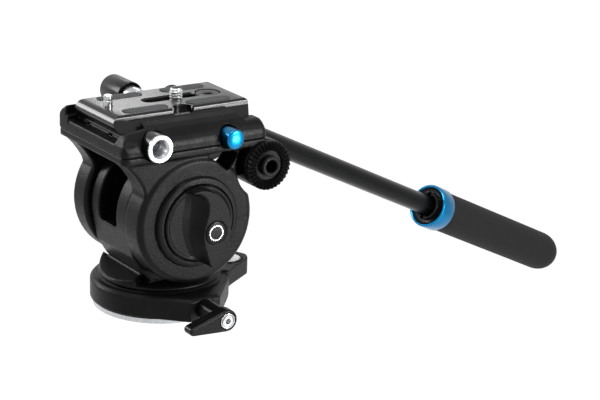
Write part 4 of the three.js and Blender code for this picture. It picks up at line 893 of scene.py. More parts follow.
def makePlate():
    p = plate
    roll = p["roll"]
    top = p["top"]
    front = p["front"]
    rear = p["rear"]
    side = [(p["flare"], p["under"]), (p["flare"], p["flareTop"]), (p["band"], p["bandFoot"])]
    side += arc((p["band"] - roll, top - roll), roll, 0, 90, 6)
    section = side + [(-y, z) for y, z in reversed(side)]
    body = pushed("camera_plate_milled", section, "X", front - 1, rear + 1)
    long = [(front + p["frontSlope"], p["under"]), (rear - p["rearSlope"], p["under"])]
    long.append((rear, p["rearBandFoot"]))
    long += arc((rear - p["rearRoll"], top - p["rearRollDrop"]), p["rearRoll"], 10, 78, 6)
    long += [(rear - p["flatInset"], top), (front + p["flatInset"], top)]
    long += arc((front + p["frontRoll"], top - p["frontRoll"]), p["frontRoll"], 98, 172, 10)
    long.append((front + 0.3, p["frontBandFoot"]))
    plan = roundedOutline((front, -p["flare"]), (rear, p["flare"]), p["planCorner"], 6)
    limits = [pushed("plate_profile", long, "Y", -26, 26), pushed("plate_plan", plan, "Z", 94, 106)]
    combine(body, limits, "INTERSECT")
    middle = ((p["slotFront"] + p["slotRear"]) / 2, 0)
    length = p["slotRear"] - p["slotFront"]
    slot = stadiumOutline(middle, length, p["slotWidth"])
    rim = stadiumOutline(middle, length + p["slotFlare"], p["slotWidth"] + p["slotFlare"])
    cuts = [
        pushed("screw_slot", slot, "Z", 94, 106),
        stacked("slot_rim", [slot, rim], "Z", [top - p["slotRim"], top + 0.1]),
        blockBetween("slider_way", *p["sliderWay"]),
        pushed("edge_notch", p["edgeNotch"], "Y", -20, -17.2),
        steppedBar("thumb_scoop", p["scoop"], centre=p["scoopSpot"]),
        steppedBar("insert_seat", p["insertSeat"], centre=axes["insert"]),
        steppedBar("insert_hole", p["insertHole"], centre=axes["insert"], sides=48),
        steppedBar("pin_way", p["pinWay"], centre=axes["pin"], sides=48),
        blockBetween("catch_groove", *p["catchGroove"]),
    ]
    for spot in padSpots:
        seat = stadiumOutline(spot, pads["length"] + pads["seatRoom"], pads["width"] + pads["seatRoom"])
        cuts.append(pushed("pad_seat", seat, "Z", top - pads["seatDepth"], top + 1))
    cutBy(body, *cuts)
    breakEdges(body, 0.16, angle=34)
    fitPiece(body, "camera_plate")


# Rubber pads: a ribbed sheet turned to its slant, then cut to the pad's outline
def makePads():
    rib = pads["rib"]
    high = plate["top"] + pads["proud"]
    low = high - pads["deep"]
    reach = pads["sheetHalf"]
    outline = [(-reach, low - 0.5)]
    for step in range(2 * int(reach * 2 / rib) + 1):
        valley = pads["ribDepth"] if step % 2 == 0 else 0
        outline.append((-reach + rib * (step / 2), high - valley))
    outline.append((reach, low - 0.5))
    for number, (x, y) in enumerate(padSpots, 1):
        ribs = pushed(f"plate_pad_{number}_ribbed", outline, "Y", -reach, reach)
        ribs.data.transform(Matrix.Rotation(math.radians(pads["ribTurn"]), 4, "Z"))
        ribs.data.transform(Matrix.Translation(Vector((x, y, 0)) * mm))
        shape = pushed("pad_shape", stadiumOutline((x, y), pads["length"], pads["width"]), "Z", low, high + 1)
        combine(ribs, [shape], "INTERSECT")
        breakEdges(ribs, 0.1, angle=30)
        fitPiece(ribs, f"plate_pad_{number}")


# Bright ring set into the plate, with a chamfered mouth
plateInsert = {
    "profile": [(2.8, 102.4), (6.0, 102.4), (6.0, 103.4), (5.7, 103.7), (3.5, 103.7), (2.8, 103.1)],
}


def makeInsert():
    ring = turned("plate_insert", plateInsert["profile"], centre=axes["insert"])
    breakEdges(ring, 0.1)
    fitPiece(ring, "plate_bushing")


makePlate()
makePads()
makeInsert()


# A rod with a real helical thread: crests and roots run round it, fading out at both ends
def threadedRod(name, root, crest, pitch, low, high, centre, sides, perTurn):
    rows = int((high - low) / pitch * perTurn) + 1
    fadeOver = 0.8 * pitch
    points = []
    faces = []
    for row in range(rows + 1):
        z = low + (high - low) * row / rows
        for step in range(sides):
            phase = (z - low) / pitch - step / sides
            wave = abs((phase % 1) * 2 - 1)
            fade = min(1, (z - low) / fadeOver, (high - z) / fadeOver)
            radius = root + (crest - root) * min(1, max(0, wave * 1.35 - 0.12)) * max(0, fade)
            angle = 2 * math.pi * step / sides
            points.append((centre[0] + radius * math.cos(angle), centre[1] + radius * math.sin(angle), z))
    for row in range(rows):
        for step in range(sides):
            after = (step + 1) % sides
            first = row * sides
            faces.append([first + step, first + after, first + sides + after, first + sides + step])
    faces.append(list(range(sides)))
    faces.append(list(range(rows * sides, (rows + 1) * sides)))
    return meshObject(name, points, faces)


# Camera screw: 1/4 inch thread over a flat slotted head
cameraScrew = {
    "root": 2.2, "crest": 3.2, "pitch": 1.27, "top": 108.8, "threadStart": 97.0, "tipFoot": 107,
    "tipRadius": 2.5,
    "head": 6.1, "headEdge": 0.4, "headFloor": 95.6, "headTop": 97.9, "slotWidth": 1.2, "slotTop": 97.1,
}


def makeCameraScrew():
    s = cameraScrew
    centre = axes["cameraScrew"]
    top = s["top"]
    brim = s["head"] - s["headEdge"]
    shank = threadedRod(
        "camera_screw_threaded", s["root"], s["crest"], s["pitch"], s["threadStart"], top - 0.5, centre,
        sides=64, perTurn=16,
    )
    head = turned("screw_head", [
        (0, s["headFloor"]), (brim, s["headFloor"]), (s["head"], s["headFloor"] + s["headEdge"]),
        (s["head"], s["headTop"] - s["headEdge"]), (brim, s["headTop"]), (0, s["headTop"]),
    ], centre=centre, sides=64)
    tip = turned("screw_tip", [
        (0, s["tipFoot"]), (s["tipRadius"], s["tipFoot"]), (s["tipRadius"], top - 0.45),
        (s["tipRadius"] - 0.4, top), (0, top),
    ], centre=centre, sides=48)
    joinedWith(shank, head, tip)
    half = s["slotWidth"] / 2
    cutBy(shank, blockBetween("coin_slot", (centre[0] - 8, -half, 95), (centre[0] + 8, half, s["slotTop"])))
    breakEdges(shank, 0.05, segments=1, angle=50)
    fitPiece(shank, "camera_screw")
    shank.data.materials[0] = rolledThreadSteel()


# Video pin: a flange under the plate, and a groove near the tip
videoPin = {
    "profile": [
        (0, 100.7), (3.0, 100.7), (3.0, 101.7), (2.2, 101.7), (2.2, 106.6), (2.0, 106.8), (2.0, 107.2),
        (2.2, 107.4), (2.2, 109.1), (1.8, 109.5), (0, 109.5),
    ],
}


def makePin():
    pin = turned("video_pin_turned", videoPin["profile"], centre=axes["pin"], sides=48)
    breakEdges(pin, 0.08)
    fitPiece(pin, "video_pin")


# Accessory port: bright plug with a threaded mouth in a black sleeve
port = {
    "radius": 6.75, "sleeve": 6.1, "flange": 0.9, "bore": 3.95, "face": -38.0, "back": -28.0, "edge": 0.35,
    "mouth": 0.8, "pitch": 0.9, "threadDepth": 0.35, "threadEnd": -30.9, "floor": -30.2,
}


def makePort():
    p = port
    face = p["face"]
    flange = face + p["flange"]
    crest = p["bore"] + 0.1
    profile = [
        (0, p["back"]), (p["sleeve"] - 0.05, p["back"]), (p["sleeve"] - 0.05, flange), (p["radius"], flange),
        (p["radius"], face + p["edge"]), (p["radius"] - p["edge"], face), (crest + 0.8, face),
        (crest, face + p["mouth"]),
    ]
    along = face + p["mouth"]
    while along < p["threadEnd"]:
        profile += [(crest - p["threadDepth"], along + p["pitch"] * 0.45), (crest, along + p["pitch"] * 0.9)]
        along += p["pitch"]
    profile += [(p["bore"] - 0.3, p["floor"]), (0, p["floor"])]
    body = turned("accessory_port_turned", profile, "Y", axes["port"], 72)
    breakEdges(body, 0.06, segments=1, angle=40)
    fitPiece(body, "accessory_port")
    sleeve = turned("accessory_port_sleeve", [
        (p["sleeve"], p["back"] - 0.05), (p["radius"], p["back"] - 0.05), (p["radius"], flange + 0.25),
        (p["radius"] - 0.15, flange + 0.06), (p["sleeve"], flange + 0.06),
    ], "Y", axes["port"], 72)
    breakEdges(sleeve, 0.06)
    dressPiece(sleeve, "tilt", "plate_black")


# Safety button: hollow cap with a low dome
button = {"radius": 4.8, "face": -40.0, "dome": 1.1, "rim": -29.0, "wall": 1.0, "inside": -37.0}


def makeButton():
    b = button
    profile = []
    for angle in (math.pi / 2 * step / 14 for step in range(15)):
        fall = b["dome"] * (1 - math.cos(angle) ** 0.9)
        profile.append((b["radius"] * math.sin(angle) ** 0.75, b["face"] + fall))
    hollow = b["radius"] - b["wall"]
    profile += [(b["radius"], b["rim"]), (hollow, b["rim"]), (hollow, b["inside"]), (0, b["inside"])]
    body = turned("safety_button_turned", profile, "Y", axes["button"], 72)
    breakEdges(body, 0.08, angle=50)
    fitPiece(body, "safety_button")


makeCameraScrew()
makePin()
makePort()
makeButton()
print("plate, screw, pin, port and button made")


# Rosettes: discs of radial teeth round a groove and a hub, which let a handle be clamped at any angle
rosette = {
    "outer": 12.4, "groove": 7.5, "grooveFloor": 1.2, "hub": 5.2, "teeth": 34, "crest": 3.1, "tall": 1.5,
    "near": -34.3, "hubProud": 1.4, "far": 30.3, "hole": 3.1, "socket": 36.8, "socketHole": 2.7,
}
# Rise of a tooth over its four steps, as a share of its height
toothSteps = (0, 0.5, 1, 0.5)


def makeRosette(name, node, back, facing, hubProud, hole):
    r = rosette
    x, _, z = axes["rosette"]
    valley = r["crest"] - r["tall"]
    steps = r["teeth"] * len(toothSteps)
    # Each ring is (radius, height, how much of a tooth's height it takes)
    rings = [
        (r["groove"], 0.0, 0), (r["outer"] - 0.5, 0.0, 0), (r["outer"], 0.4, 0),
        (r["outer"], valley - 0.3, 0.55), (r["outer"] - 0.7, valley, 1), (r["groove"], valley, 1),
    ]
    points = []
    for radius, height, share in rings:
        for step in range(steps):
            angle = 2 * math.pi * step / steps
            lift = toothSteps[step % 4] * r["tall"] * share
            along = back + facing * (height + lift)
            points.append((x + radius * math.cos(angle), along, z + radius * math.sin(angle)))
    faces = []
    for level in range(len(rings)):
        here = level * steps
        after = (level + 1) % len(rings) * steps
        for step in range(steps):
            beyond = (step + 1) % steps
            faces.append([here + step, here + beyond, after + beyond, after + step])
    teeth = meshObject(name, points, faces)
    hubTop = r["crest"] + hubProud
    floor = r["grooveFloor"]
    hubProfile = [
        (hole, 0), (r["groove"] + 0.25, 0), (r["groove"] + 0.25, floor), (r["hub"], floor),
        (r["hub"], hubTop - 0.5),
        (r["hub"] - 0.5, hubTop), (hole + 0.5, hubTop), (hole, hubTop - 0.5),
    ]
    hub = turned("hub", [(radius, facing * height) for radius, height in hubProfile], "Y", (x, back, z), 72)
    joinedWith(teeth, hub)
    breakEdges(teeth, 0.07, segments=1, angle=40)
    return fitPiece(teeth, node)


makeRosette("near_rosette_toothed", "near_rosette", rosette["near"], -1, rosette["hubProud"], rosette["hole"])
makeRosette("far_rosette_toothed", "far_rosette", rosette["far"], 1, 0, rosette["hole"])


# Tilt lock: collar round a recessed knob with an S-shaped grip whose near flank is scooped out
collar = {"inner": 19.2, "outer": 22.4, "front": -36.5, "back": -34.3}
knob = {
    "radius": 18.7, "back": -34.3, "face": -37.4, "top": -44.0, "rim": 1.6, "edge": 0.5, "sunk": 0.45,
    "gripFoot": 0.6,
    "levels": 9, "scoop": 0.36, "rearDraft": 0.9,
    "capX": 5.0, "capZ": -3.6, "capRadius": 5.6, "inlayInner": 3.3, "inlayOuter": 3.9, "cell": 0.33,
}
crestLine = [
    (2.6, -20.6), (1.2, -16.8), (-0.1, -12.5), (-1.3, -8.4), (-1.7, -5.0), (-1.3, -1.2), (-0.3, 2.6),
    (0.7, 6.2),
    (0.9, 9.9), (0.2, 12.8), (-1.6, 15.2), (-4.4, 17.0), (-7.8, 17.6),
]
footLine = [
    (1.6, -20.2), (-2.2, -18.9), (-5.6, -15.6), (-7.6, -11.6), (-9.2, -7.4), (-10.2, -3.4), (-10.8, 0.6),
    (-10.8, 4.2),
    (-10.2, 7.6), (-9.4, 10.4), (-8.8, 13.0), (-9.0, 15.4), (-9.4, 16.8),
]
rearTop = [
    (-6.2, 18.2), (-2.2, 18.4), (1.6, 17.4), (5.0, 15.6), (8.2, 13.0), (10.8, 9.6), (12.4, 5.6), (13.2, 1.2),
    (13.4, -3.4), (12.8, -8.0), (11.2, -12.6), (8.2, -17.0), (4.8, -20.2),
]


# Outlines of the grip from its foot to its crest: the near flank slides from one line to the other
def gripOutlines():
    k = knob
    for level in range(k["levels"] + 1):
        share = level / k["levels"]
        slide = share ** k["scoop"]
        near = []
        for (footX, footZ), (crestX, crestZ) in zip(footLine, crestLine):
            near.append((footX + (crestX - footX) * slide, footZ + (crestZ - footZ) * slide))
        rear = [(x + k["rearDraft"] * (1 - share), z) for x, z in rearTop]
        foot = k["face"] + k["gripFoot"]
        yield smoothLoop(near + rear, 3), foot + (k["top"] - k["face"] - k["gripFoot"]) * share


def makeKnob():
    k = knob
    top = k["top"]
    floor = k["face"] + k["sunk"]
    disc = turned("tilt_lock_knob_cast", [
        (0, k["back"]), (k["radius"], k["back"]), (k["radius"], k["face"] + k["edge"]),
        (k["radius"] - k["edge"], k["face"]), (k["radius"] - k["rim"], k["face"]),
        (k["radius"] - k["rim"] - 0.4, floor), (0, floor),
    ], "Y", axes["tilt"], 128)
    outlines, places = zip(*gripOutlines())
    joinedWith(disc, stacked("knob_grip", outlines, "Y", places, axes["tilt"]))
    capCentre = (k["capX"], 0, tiltZ + k["capZ"])
    cutBy(disc, steppedBar("cap_seat", [(k["capRadius"] + 0.25, -46, top + 0.8)], "Y", capCentre))
    castSoft(disc, k["cell"], passes=3)
    fitPiece(disc, "tilt_lock_knob")
    radius = k["capRadius"]
    inner = k["inlayInner"]
    outer = k["inlayOuter"]
    cap = turned("tilt_knob_cap_moulded", [
        (0, top + 0.6), (radius, top + 0.6), (radius, top - 0.05), (radius - 0.35, top - 0.25),
        (outer, top - 0.25), (outer, top - 0.1), (inner, top - 0.1), (inner, top - 0.25), (0, top - 0.3),
    ], "Y", capCentre, 64)
    breakEdges(cap, 0.05)
    fitPiece(cap, "tilt_knob_cap")
    inlay = turned("tilt_knob_inlay", [
        (inner + 0.06, top - 0.12), (outer - 0.06, top - 0.12), (outer - 0.06, top - 0.24),
        (inner + 0.06, top - 0.24),
    ], "Y", capCentre, 64)
    dressPiece(inlay, "tilt_knob", "satin_aluminium")


def makeCollar():
    c = collar
    front = c["front"]
    outer = c["outer"]
    ring = turned("tilt_lock_collar", [
        (c["inner"], c["back"]), (c["inner"], front + 0.3), (c["inner"] + 0.3, front), (outer - 1.2, front),
        (outer - 0.35, front + 0.4), (outer, front + 1.2), (outer + 0.35, c["back"]),
    ], "Y", axes["tilt"], 128)
    breakEdges(ring, 0.12)
    fitPiece(ring, "tilt_lock_ring")


# Cover over the far end of the axle, with a ring groove and a sunk middle
farCover = {
    "profile": [
        (0, 30.3), (23.5, 30.3), (23.5, 31.6), (22.7, 32.4), (20.6, 32.5), (20.2, 32.0), (19.4, 32.0),
        (19.0, 32.5), (8.4, 32.5), (7.8, 31.9), (0, 31.9),
    ],
}


def makeFarCover():
    cover = turned("far_side_cover_cast", farCover["profile"], "Y", axes["tilt"], 128)
    breakEdges(cover, 0.12)
    fitPiece(cover, "far_side_cover")


makeKnob()
makeCollar()
makeFarCover()
print("tilt lock and covers made")


# Pan lock: moulded teardrop lever on a barrel, held by a socket screw in a silver washer
lever = {
    "hub": 5.5, "end": -62.0, "thick": 6.8, "tipX": -18.4, "tipDrop": -2.2, "tipRadius": 2.1, "tipEase": 0.6,
    # Both faces are eased, by (inset, depth)
    "ease": [(0.9, 0.0), (0.35, 0.25), (0.0, 0.9)],
    "barrel": [4.6, 4.7, 4.9], "barrelEnd": -41.8, "screwWay": [(2.3, -63, -40)], "washerSeat": 4.3,
    "cell": 0.28,
}
leverScrew = {
    "proud": 0.4, "head": 2.95, "washerInner": 3.35, "washer": 3.85, "shank": 2.0, "end": -24, "socket": 1.55,
}


def makeLever():
    v = lever
    end = v["end"]
    centre = axes["panLock"]
    span = math.hypot(v["tipX"], v["tipDrop"])
    lean = math.degrees(math.acos((v["hub"] - v["tipRadius"]) / span))
    along = math.degrees(math.atan2(v["tipDrop"], v["tipX"]))
    levels = v["ease"] + [(inset, v["thick"] - depth) for inset, depth in reversed(v["ease"])]
    rings = []
    for inset, _ in levels:
        outline = arc((0, 0), v["hub"] - inset, along - 360 + lean, along - lean, 36)
        tipRadius = v["tipRadius"] - inset * v["tipEase"]
        outline += arc((v["tipX"], v["tipDrop"]), tipRadius, along - lean, along + lean, 12)
        rings.append(outline)
    paddle = stacked("pan_lock_lever_moulded", rings, "Y", [end + depth for _, depth in levels], centre)
    top, waist, foot = v["barrel"]
    barrel = turned("barrel", [
        (0, end + 1), (top, end + 1), (waist, v["barrelEnd"] - 6), (foot, v["barrelEnd"]),
        (0, v["barrelEnd"]),
    ], "Y", centre, 64)
    joinedWith(paddle, barrel)
    seat = v["washerSeat"]
    cutBy(
        paddle,
        steppedBar("washer_seat", [(seat, -63, end + 0.5), (seat - 0.3, end + 0.5, end + 3)], "Y", centre),
        steppedBar("screw_way", v["screwWay"], "Y", centre, 32),
    )
    castSoft(paddle, v["cell"], passes=2)
    fitPiece(paddle, "pan_lock_lever")


def makeLeverScrew():
    s = leverScrew
    start = lever["end"] - s["proud"]
    floor = start + 1.2
    foot = start + 3.0
    body = turned("pan_lock_screw_turned", [
        (0, start), (s["head"] - 0.15, start), (s["head"], start + 0.15), (s["head"], floor),
        (s["washerInner"], floor),
        (s["washerInner"], start + 0.2), (s["washer"] - 0.15, start + 0.2), (s["washer"], start + 0.4),
        (s["washer"], foot), (s["shank"], foot), (s["shank"], s["end"]), (0, s["end"]),
    ], "Y", axes["panLock"], 64)
    hexagon = aroundCircle(6, s["socket"])
    cutBy(body, pushed("hex_socket", hexagon, "Y", start - 1, start + 2.8, axes["panLock"]))
    breakEdges(body, 0.06)
    fitPiece(body, "pan_lock_screw")


# Level: a thin cup with the vial set into it, its top slightly domed
level = {
    "cup": [
        (0, 11.8), (8.0, 11.8), (8.0, 15.8), (7.9, 16.0), (7.75, 16.0), (7.65, 15.9), (7.65, 12.8), (0, 12.8),
    ],
    "vial": [
        (0, 13.1), (7.45, 13.1), (7.45, 15.5), (7.2, 15.65), (5.8, 15.8), (3.8, 15.9), (1.9, 15.97),
        (0, 16.0),
    ],
}


def makeLevel():
    cup = turned("bubble_cup_moulded", level["cup"], centre=axes["level"])
    breakEdges(cup, 0.06)
    fitPiece(cup, "bubble_cup")
    vial = turned("bubble_vial_clear", level["vial"], centre=axes["level"])
    breakEdges(vial, 0.05)
    fitPiece(vial, "bubble_vial")


makeLever()
makeLeverScrew()
makeLevel()
print("pan lock and level made")


# Handle pieces are drawn along Y from the clamp's centre, then turned down and outward
handle = {
    "out": 10.0, "drop": 25.85, "place": (39.4, 47.0, 83.87), "tube": 5.8, "wall": 1.2, "tubeStart": -12.0,
    "tubeEnd": 334.0, "ringStart": 217.0, "ringEnd": 229.0, "ringOuter": 12.9, "ringInner": 11.0,
    "bushSlot": 1.2, "grip": 11.9, "gripEnd": 352.0, "gripNose": 15.0, "gripBore": 106, "gripRings": 30,
}


def alongHandle(piece):
    lie = Matrix.Rotation(math.radians(-90), 4, "Z")
    lower = Matrix.Rotation(math.radians(handle["drop"]), 4, "Y")
    outward = Matrix.Rotation(math.radians(handle["out"]), 4, "Z")
    piece.data.transform(Matrix.Translation(Vector(handle["place"]) * mm) @ outward @ lower @ lie)
    return piece


def makeTube():
    h = handle
    inner = h["tube"] - h["wall"]
    tube = turned("handle_tube_drawn", [
        (inner, h["tubeStart"]), (h["tube"] - 0.3, h["tubeStart"]), (h["tube"], h["tubeStart"] + 0.3),
        (h["tube"], h["tubeEnd"]), (inner, h["tubeEnd"]),
    ], "Y", sides=80)
    alongHandle(tube)
    breakEdges(tube, 0.1)
    fitPiece(tube, "handle_tube")


def makeGripRing():
    h = handle
    start = h["ringStart"]
    end = h["ringEnd"]
    inner = h["ringInner"]
    outer = h["ringOuter"]
    ring = turned("grip_ring_turned", [
        (inner, start + 0.9), (inner + 0.5, start + 0.25), (inner + 1.0, start), (outer - 0.75, start + 0.1),
        (outer - 0.25, start + 0.45), (outer, start + 1.2), (outer, end - 1.5), (outer - 0.3, end - 0.9),
        (outer - 0.9, end), (inner, end),
    ], "Y", sides=128)
    alongHandle(ring)
    breakEdges(ring, 0.15, segments=3)
    fitPiece(ring, "grip_ring")


# Bush between tube and ring: its rounded nose shows in the ring's mouth, with a slot above and below
def makeGripBush():
    h = handle
    start = h["ringStart"]
    end = h["ringEnd"]
    inner = h["tube"] + 0.3
    outer = h["ringInner"] - 0.25
    bush = turned("grip_bush_moulded", [
        (inner, start + 1.4), (inner + 0.5, start - 0.9), (inner + 1.6, start - 1.2),
        (inner + 2.2, start - 0.6),
        (inner + 2.6, start + 1.2), (outer - 0.7, start + 1.2), (outer, start + 0.9), (outer, end),
        (inner, end),
    ], "Y")
    slot = h["bushSlot"]
    cutBy(
        bush,
        blockBetween("bush_slot", (-slot, start - 2, inner - 1), (slot, start + 0.9, outer + 1)),
        blockBetween("bush_slot", (-slot, start - 2, -outer - 1), (slot, start + 0.9, -inner + 1)),
    )
    alongHandle(bush)
    breakEdges(bush, 0.12)
    fitPiece(bush, "grip_bush")


def makeGrip():
    h = handle
    bore = h["tube"] + 0.3
    radius = h["grip"]
    nose = h["gripNose"]
    rows = h["gripRings"]
    start = h["ringEnd"] + 0.3
    end = h["gripEnd"]
    profile = [(bore, start), (radius - 0.9, start), (radius - 0.25, start + 0.3), (radius, start + 1.0)]
    profile += [(radius, start + 1 + (end - nose - start - 1) * step / rows) for step in range(1, rows)]
    for angle in (math.pi / 2 * step / 14 for step in range(14)):
        profile.append((radius * math.cos(angle), end - nose * (1 - math.sin(angle))))
    profile += [(0, end), (0, start + h["gripBore"]), (bore, start + h["gripBore"])]
    sleeve = turned("handle_grip_foam", profile, "Y", sides=128)
    alongHandle(sleeve)
    breakEdges(sleeve, 0.25, segments=3, angle=40)
    fitPiece(sleeve, "handle_grip")


makeTube()
makeGripRing()
makeGripBush()
makeGrip()


# Handle socket: a toothed disc on a hub, joined by a saddle to the barrel that holds the tube
socket = {
    "barrel": 8.6, "barrelEdge": 0.8, "front": -10.0, "rear": 14.0, "hub": 7.6, "hubEnd": 57.0, "disc": 12.4,
    "discEdge": 1.6, "discThick": 6, "saddleHeight": 9.67, "tubeWay": [(6.1, -18, 22)],
    "boltWay": [(2.7, 30, 60)],
    "cell": 0.4,
}


def makeSocket():
    s = socket
    x, _, z = axes["rosette"]
    back = rosette["socket"]
    rear = back + s["discThick"]
    disc = turned("handle_socket_cast", [
        (0, back - 0.3), (s["disc"], back - 0.3), (s["disc"], rear - 1.6),
        (s["disc"] - s["discEdge"], rear), (0, rear),
    ], "Y", axes["rosette"], 96)
    edge = s["barrelEdge"]
    barrel = turned("socket_barrel", [
        (0, s["front"]), (s["barrel"] - edge, s["front"]), (s["barrel"], s["front"] + edge),
        (s["barrel"], s["rear"] - edge), (s["barrel"] - edge, s["rear"]), (0, s["rear"]),
    ], "Y")
    across = handle["place"][1]
    joinedWith(
        disc,
        steppedBar("socket_hub", [(s["hub"], back, s["hubEnd"])], "Y", axes["rosette"], 96),
        alongHandle(barrel),
        blockBetween(
            "socket_saddle", (x - s["hub"], across - s["hub"], z),
            (x + s["hub"], across + s["hub"], z + s["saddleHeight"]),
        ),
    )
    cutBy(
        disc,
        alongHandle(steppedBar("tube_way", s["tubeWay"], "Y")),
        steppedBar("bolt_way", s["boltWay"], "Y", axes["rosette"], 32),
        steppedBar("teeth_space", [(13, 30, back)], "Y", axes["rosette"], 48),
    )
    castSoft(disc, s["cell"], passes=3)
    fitPiece(disc, "handle_socket")


# The socket's teeth are turned by half a tooth, to mesh with those of the far rosette
def makeSocketTeeth():
    r = rosette
    teeth = makeRosette("handle_socket_teeth", "handle_socket", r["socket"], -1, 0, r["socketHole"])
    centre = Matrix.Translation(Vector(axes["rosette"]) * mm)
    turnHalf = Matrix.Rotation(math.pi / r["teeth"], 4, "Y")
    teeth.data.transform(centre @ turnHalf @ centre.inverted())


def lobedOutline(radius, lobes, depth, steps=120):
    points = []
    for step in range(steps):
        angle = 2 * math.pi * step / steps
        reach = radius - depth * (1 - math.cos(lobes * angle)) / 2
        points.append((reach * math.cos(angle), reach * math.sin(angle)))
    return points


# Clamp knob of the handle: six lobes, by (radius, lobe depth, place along the axis)
clampKnob = {
    "lobes": 6,
    "levels": [
        (9.6, 0.4, 57.3), (10.6, 1.0, 57.8), (11, 1.4, 58.9), (11, 1.5, 67.9), (10.3, 1.4, 69.5),
        (8.9, 0.9, 70.3),
    ],
    "boltWay": [(2.7, 56, 63.8)], "dish": [(0, 69.6), (5.5, 69.6), (6.3, 70.5), (6.3, 72), (0, 72)],
    "cell": 0.4,
}


def makeClampKnob():
    k = clampKnob
    outlines = [lobedOutline(radius, k["lobes"], depth) for radius, depth, _ in k["levels"]]
    places = [along for _, _, along in k["levels"]]
    body = stacked("handle_clamp_knob_moulded", outlines, "Y", places, axes["rosette"])
    cutBy(
        body,
        steppedBar("bolt_way", k["boltWay"], "Y", axes["rosette"], 32),
        turned("end_dish", k["dish"], "Y", axes["rosette"], 64),
    )
    castSoft(body, k["cell"], passes=4)
    fitPiece(body, "handle_clamp_knob")


# Plate lock on the far side: bolt, capped knob and the jaw that it pushes against the plate
plateLock = {
    "bolt": [
        (0, 22.1), (2.0, 22.1), (2.2, 22.4), (2.2, 30.8), (5.2, 30.8), (5.6, 31.2), (5.6, 49.4),
        (5.2, 49.8), (0, 49.8),
    ],
    "knob": [
        (0, 50.1), (5.9, 50.1), (6.25, 49.7), (6.25, 41.3), (6.5, 41.0), (7.1, 41.0), (7.35, 41.3),
        (7.35, 58.8),
        (7.0, 59.6), (6.3, 60.0), (2.0, 60.0), (1.6, 59.7), (0, 59.7),
    ],
    "jaw": [
        (22.3, 95.3), (25.3, 95.3), (25.3, 100.2), (24.9, 100.6), (21.1, 100.6), (20.7, 100.2),
        (20.7, 98.6), (22.3, 96.6),
    ],
    "jawFront": -24.2, "jawRear": 29.1, "jawLug": [(1, 22.3, 90), (11, 25.3, 96)], "jawHole": [(2.5, 19, 27)],
}


def makePlateLock():
    p = plateLock
    bolt = turned("plate_lock_bolt_turned", p["bolt"], "Y", axes["plateLock"], 64)
    breakEdges(bolt, 0.1)
    fitPiece(bolt, "plate_lock_bolt")
    cap = turned("plate_lock_knob_moulded", p["knob"], "Y", axes["plateLock"], 96)
    breakEdges(cap, 0.1)
    fitPiece(cap, "plate_lock_knob")
    jaw = pushed("clamp_jaw_milled", p["jaw"], "X", p["jawFront"], p["jawRear"])
    joinedWith(jaw, blockBetween("jaw_lug", *p["jawLug"]))
    cutBy(jaw, steppedBar("jaw_hole", p["jawHole"], "Y", axes["plateLock"], 32))
    breakEdges(jaw, 0.12)
    fitPiece(jaw, "clamp_jaw")


makeSocket()
makeSocketTeeth()
makeClampKnob()
makePlateLock()


# Screws seen from below: countersunk heads with a hexagon socket
screws = {
    "base_screw": {
        "spots": aroundCircle(3, baseRing["screwCircle"]),
        "profile": [(0, 0.2), (2.7, 0.2), (2.9, 0.4), (1.5, 1.9), (1.5, 5.0), (0, 5.0)],
    },
    "clamp_screw": {
        "spots": clampScrewSpots,
        "profile": [(0, 84.4), (3.0, 84.4), (3.2, 84.55), (1.9, 86.3), (1.9, 92.9), (0, 92.9)],
    },
}
socketRadius = 1.1
socketDepth = 1.3


def makeScrews():
    for kind, screwKind in screws.items():
        low = screwKind["profile"][0][1]
        for number, spot in enumerate(screwKind["spots"], 1):
            centre = (spot[0], spot[1], 0)
            screw = turned(f"{kind}_{number}_machined", screwKind["profile"], centre=centre, sides=40)
            hexagon = aroundCircle(6, socketRadius)
            cutBy(screw, pushed("hex_socket", hexagon, "Z", low - 1, low + socketDepth, centre))
            breakEdges(screw, 0.05)
            fitPiece(screw, f"{kind}_{number}")


# Thread insert: flanged sleeve with a 3/8 inch thread, drawn as rings from the top down
insertSleeve = {
    "pitch": 1.59, "bore": 4.6, "crest": 4.0, "outer": 7, "top": 9, "threadTop": 8.6, "threadEnd": 0.9,
    "flange": 10, "flangeEdge": 0.3, "flangeTop": 1.5,
}


def makeInsertSleeve():
    s = insertSleeve
    flange = s["flange"]
    edge = s["flangeEdge"]
    profile = [
        (s["bore"], 0), (flange - edge, 0), (flange, edge), (flange, s["flangeTop"]),
        (s["outer"], s["flangeTop"]),
        (s["outer"], s["top"]), (s["bore"], s["top"]),
    ]
    height = s["threadTop"]
    while height > s["threadEnd"]:
        profile += [(s["crest"], height - s["pitch"] * 0.4), (s["bore"], height - s["pitch"] * 0.85)]
        height -= s["pitch"]
    sleeve = turned("thread_insert_turned", profile, sides=72)
    breakEdges(sleeve, 0.05, segments=1, angle=50)
    fitPiece(sleeve, "thread_insert")


makeScrews()
makeInsertSleeve()
print("handle, locks and screws made")


# White studio paper, laid lower than the handle's end can swing down when the head tilts
# Seen by the camera it fades from its own lit colour under the head to plain white further out
studioFloor = {
    "size": 5.0, "below": 12, "colour": "#d9d9d9", "nearLift": 0.6, "farLift": 1.0, "nearRadius": 0.9,
    "farRadius": 2.1,
}


# 1 for what the camera sees itself or in a reflection, and 0 for the light that falls on the head
def seenDirectly(tree, path):
    return addNode(tree, "ShaderNodeMath", {"operation": "MAXIMUM"}, {
        0: path.outputs["Is Camera Ray"], 1: path.outputs["Is Glossy Ray"],
    }).outputs["Value"]


